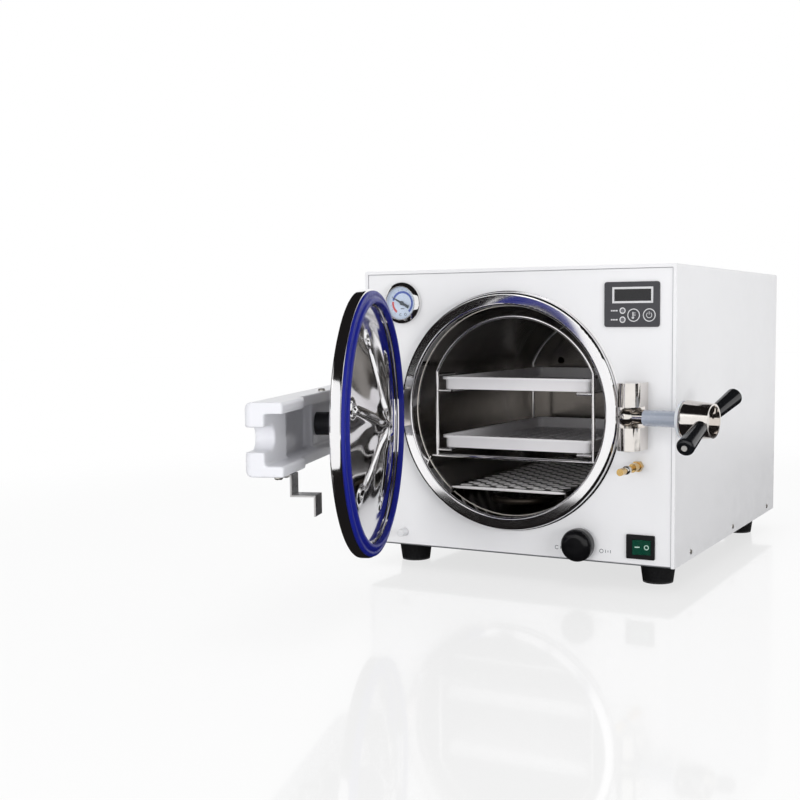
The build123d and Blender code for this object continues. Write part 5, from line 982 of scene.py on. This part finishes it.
class STERILIZER_OT_lock(bpy.types.Operator):
    """Chromed bead round the collar of the lock pin"""

    bl_idname = "sterilizer.lock"
    bl_label = "Lock bead"

    def execute(self, context):
        outline = rounded([(2.2, -4.4), (5.0, -4.0), (5.0, 4.0), (2.2, 4.4)], [0.2, 2.6, 2.6, 0.2])
        shape = revolved(outline + [0, LOCK_COLLAR], middle_of("lock_plunger"), turns=48)
        piece("lock_bead", shape, "lock_chrome", "lock")
        return {"FINISHED"}


# ---- Stage ----------------------------------------------------------------------------------

CAMERA_PLACE = (0.6005, -1.5304, 0.3108)
CAMERA_LEFT = radians(27.411)
CAMERA_DOWN = radians(5.339)
CAMERA_ROLL = radians(-0.447)
CAMERA_LENS = 54.31
CAMERA_SHIFT = (-0.075, 0.0375)


def make_camera():
    """Camera in front of the case and to its right, a little lower than its top, turned left and
    slightly down."""
    data = bpy.data.cameras.new("camera")
    data.lens = CAMERA_LENS
    data.shift_x, data.shift_y = CAMERA_SHIFT
    camera = placed("camera", data)
    turn = (
        Matrix.Rotation(CAMERA_LEFT, 4, "Z")
        @ Matrix.Rotation(pi / 2 - CAMERA_DOWN, 4, "X")
        @ Matrix.Rotation(CAMERA_ROLL, 4, "Z")
    )
    camera.matrix_world = Matrix.Translation(CAMERA_PLACE) @ turn
    bpy.context.scene.camera = camera


# Softboxes in metres and watts: name, place, target, size, power and whether mirrors show it
LAMPS = (
    ("key", (-1.3, -2.3, 1.5), (0, -0.1, 0.2), (1.4, 1.1), 3, True),
    ("front", (-0.1, -2.6, 0.32), (0, -0.2, 0.18), (1.2, 0.5), 14, False),
    ("fill", (2.4, -1.5, 0.42), (0.1, 0, 0.12), (1.0, 0.8), 20, False),
    ("top", (0.1, -0.4, 2.5), (0, 0, 0.2), (1.6, 1.6), 12, False),
)


def make_lamps():
    """Rectangular softboxes, each aimed at its target."""
    for name, place, target, size, power, mirrored in LAMPS:
        data = bpy.data.lights.new(name, "AREA")
        data.shape = "RECTANGLE"
        data.size, data.size_y = size
        data.energy = power
        lamp = placed(name, data)
        lamp.location = place
        lamp.rotation_euler = (Vector(target) - Vector(place)).to_track_quat("-Z", "Y").to_euler()
        lamp.visible_glossy = mirrored


def camera_like_ray(tree):
    """1 for a ray from the camera, from a mirror or through glass."""
    path = add(tree, "LightPath").outputs
    either = {0: path["Is Camera Ray"], 1: path["Is Glossy Ray"]}
    camera_or_mirror = add(tree, "Math", either, operation="MAXIMUM")
    any_of_three = {0: camera_or_mirror, 1: path["Is Transmission Ray"]}
    return add(tree, "Math", any_of_three, operation="MAXIMUM")


WHITE = linear("#ffffff")
WORLD_LEVEL = 0.6


def make_world():
    """Even world light that looks white behind the object, met only by rays off a surface."""
    world, tree = blank(bpy.data.worlds.new("studio"))
    bpy.context.scene.world = world
    world.cycles.sampling_method = "NONE"
    lit = add(tree, "Background", {"Color": WHITE, "Strength": WORLD_LEVEL})
    seen = add(tree, "Background", {"Color": WHITE, "Strength": 1.0})
    both = add(tree, "MixShader", {0: camera_like_ray(tree), 1: lit, 2: seen})
    add(tree, "OutputWorld", {"Surface": both})


FLOOR_RADIUS = 9.0
FADE_FROM, FADE_TO = 0.75, 1.5
# Shares of glow and of clear mirror in the floor near the object
FLOOR_GLOW = 0.79
FLOOR_MIRROR = 0.09


def make_floor():
    """Pale polished floor that mirrors the object a little; its far part fades to white."""
    bpy.ops.mesh.primitive_circle_add(vertices=96, radius=FLOOR_RADIUS, fill_type="NGON")
    floor = bpy.context.object
    floor.name = "floor"
    made, tree = blank(bpy.data.materials.new("pale_floor"))
    place = add(tree, "TexCoord").outputs["Object"]
    away = add(tree, "VectorMath", {0: place}, operation="LENGTH").outputs["Value"]
    far = add(
        tree,
        "MapRange",
        {
            "Value": away, "From Min": FADE_FROM, "From Max": FADE_TO,
            "To Min": FLOOR_GLOW, "To Max": 1.0,
        },
        interpolation_type="SMOOTHSTEP",
    )
    seen = camera_like_ray(tree)
    share = add(tree, "Math", {0: far, 1: seen}, operation="MULTIPLY")
    pale = {"Base Color": linear("#fafafa"), "Roughness": 0.14, "IOR": 1.3}
    near = add(tree, "BsdfPrincipled", pale)
    white = add(tree, "Emission", {"Color": WHITE, "Strength": 1.0})
    mirror = add(tree, "BsdfGlossy", {"Color": WHITE, "Roughness": 0.05})
    shine = add(tree, "MixShader", {0: FLOOR_MIRROR, 1: white, 2: mirror})
    both = add(tree, "MixShader", {0: share, 1: near, 2: shine})
    add(tree, "OutputMaterial", {"Surface": both})
    floor.data.materials.append(made)


# A ray that sets out lower than this comes from the floor
FLOOR_REACH = 2 * MM


def card_material():
    """Dark glow on a card's front.  A ray that meets the back passes, and so does one that set out
    from the floor; where a ray set out is hit + way back times length."""
    made, tree = blank(bpy.data.materials.new("black_card"))
    dark = add(tree, "Emission", {"Color": linear("#1c1a1a"), "Strength": 1.0})
    clear = add(tree, "BsdfTransparent")
    hit = add(tree, "NewGeometry").outputs
    travelled = add(tree, "LightPath").outputs["Ray Length"]
    origin = add(
        tree,
        "VectorMath",
        {0: hit["Incoming"], 1: travelled, 2: hit["Position"]},
        operation="MULTIPLY_ADD",
    )
    height = add(tree, "SeparateXYZ", {0: origin}).outputs["Z"]
    from_floor = add(tree, "Math", {0: height, 1: FLOOR_REACH}, operation="LESS_THAN")
    passes = add(tree, "Math", {0: hit["Backfacing"], 1: from_floor}, operation="MAXIMUM")
    both = add(tree, "MixShader", {0: passes, 1: dark, 2: clear})
    add(tree, "OutputMaterial", {"Surface": both})
    return made


FRONT_LEFT = (-2.6, -3.4, 0.9)
AT_OBJECT = (Vector((0, 0, 0.3)) - Vector(FRONT_LEFT)).to_track_quat("Z", "Y").to_euler()
# Cards in metres: name, place, turn and size
CARDS = (
    ("card_ceiling", (0, 0, 2.2), (pi, 0, 0), (6.0, 6.0)),
    ("card_floor", (0, 0.33, 0.0006), (0, 0, 0), (3.0, 2.35)),
    ("card_left", (-2.6, -1.2, 1.2), (0, pi / 2, 0), (3.0, 2.0)),
    ("card_right", (2.6, -0.6, 1.3), (0, -pi / 2, 0), (3.0, 1.4)),
    ("card_front_left", FRONT_LEFT, AT_OBJECT, (2.2, 2.6)),
)


def make_cards():
    """Dark cards overhead, at the sides and on the floor that give bright metal its dark bands.
    Only mirrors on the object show them."""
    made = card_material()
    for name, place, turn, size in CARDS:
        bpy.ops.mesh.primitive_plane_add(size=1.0, location=place, rotation=turn)
        card = bpy.context.object
        card.name = name
        card.scale = (*size, 1.0)
        card.data.materials.append(made)
        for ray in ("camera", "diffuse", "transmission", "volume_scatter", "shadow"):
            setattr(card, "visible_" + ray, False)


class STERILIZER_OT_stage(bpy.types.Operator):
    """Camera, floor, dark cards and soft studio light"""

    bl_idname = "sterilizer.stage"
    bl_label = "Stage"

    def execute(self, context):
        make_camera()
        make_world()
        make_floor()
        make_cards()
        make_lamps()
        context.scene.view_settings.view_transform = "Standard"
        return {"FINISHED"}


class STERILIZER_OT_finishes(bpy.types.Operator):
    """Finish of every piece that keeps its CAD shape"""

    bl_idname = "sterilizer.finishes"
    bl_label = "Finishes"

    def execute(self, context):
        dress_nodes()
        return {"FINISHED"}


PIECES = (
    STERILIZER_OT_finishes,
    STERILIZER_OT_case,
    STERILIZER_OT_chamber,
    STERILIZER_OT_door,
    STERILIZER_OT_screws,
    STERILIZER_OT_gauge,
    STERILIZER_OT_prints,
    STERILIZER_OT_lock,
)
# Name of each group of settings on the scene, after "sterilizer_"
SETTINGS = {
    "case": CaseSizes,
    "door": DoorSizes,
    "clamp": ClampSizes,
    "dial": DialSizes,
    "print": PrintSizes,
}


class STERILIZER_PT_panel(bpy.types.Panel):
    """Sidebar panel with a button for each piece"""

    bl_label = "Sterilizer"
    bl_space_type = "VIEW_3D"
    bl_region_type = "UI"
    bl_category = "Sterilizer"

    def draw(self, context):
        for operator in (*PIECES, STERILIZER_OT_stage):
            self.layout.operator(operator.bl_idname)


CLASSES = (*SETTINGS.values(), *PIECES, STERILIZER_OT_stage, STERILIZER_PT_panel)


def register():
    for made in CLASSES:
        bpy.utils.register_class(made)
    for name, group in SETTINGS.items():
        setattr(bpy.types.Scene, "sterilizer_" + name, bpy.props.PointerProperty(type=group))


def unregister():
    for name in SETTINGS:
        delattr(bpy.types.Scene, "sterilizer_" + name)
    for made in reversed(CLASSES):
        bpy.utils.unregister_class(made)


def main():
    """Register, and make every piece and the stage."""
    register()
    for operator in (*PIECES, STERILIZER_OT_stage):
        group, name = operator.bl_idname.split(".")
        getattr(getattr(bpy.ops, group), name)()
    bpy.context.view_layer.update()


if __name__ == "__main__":
    main()
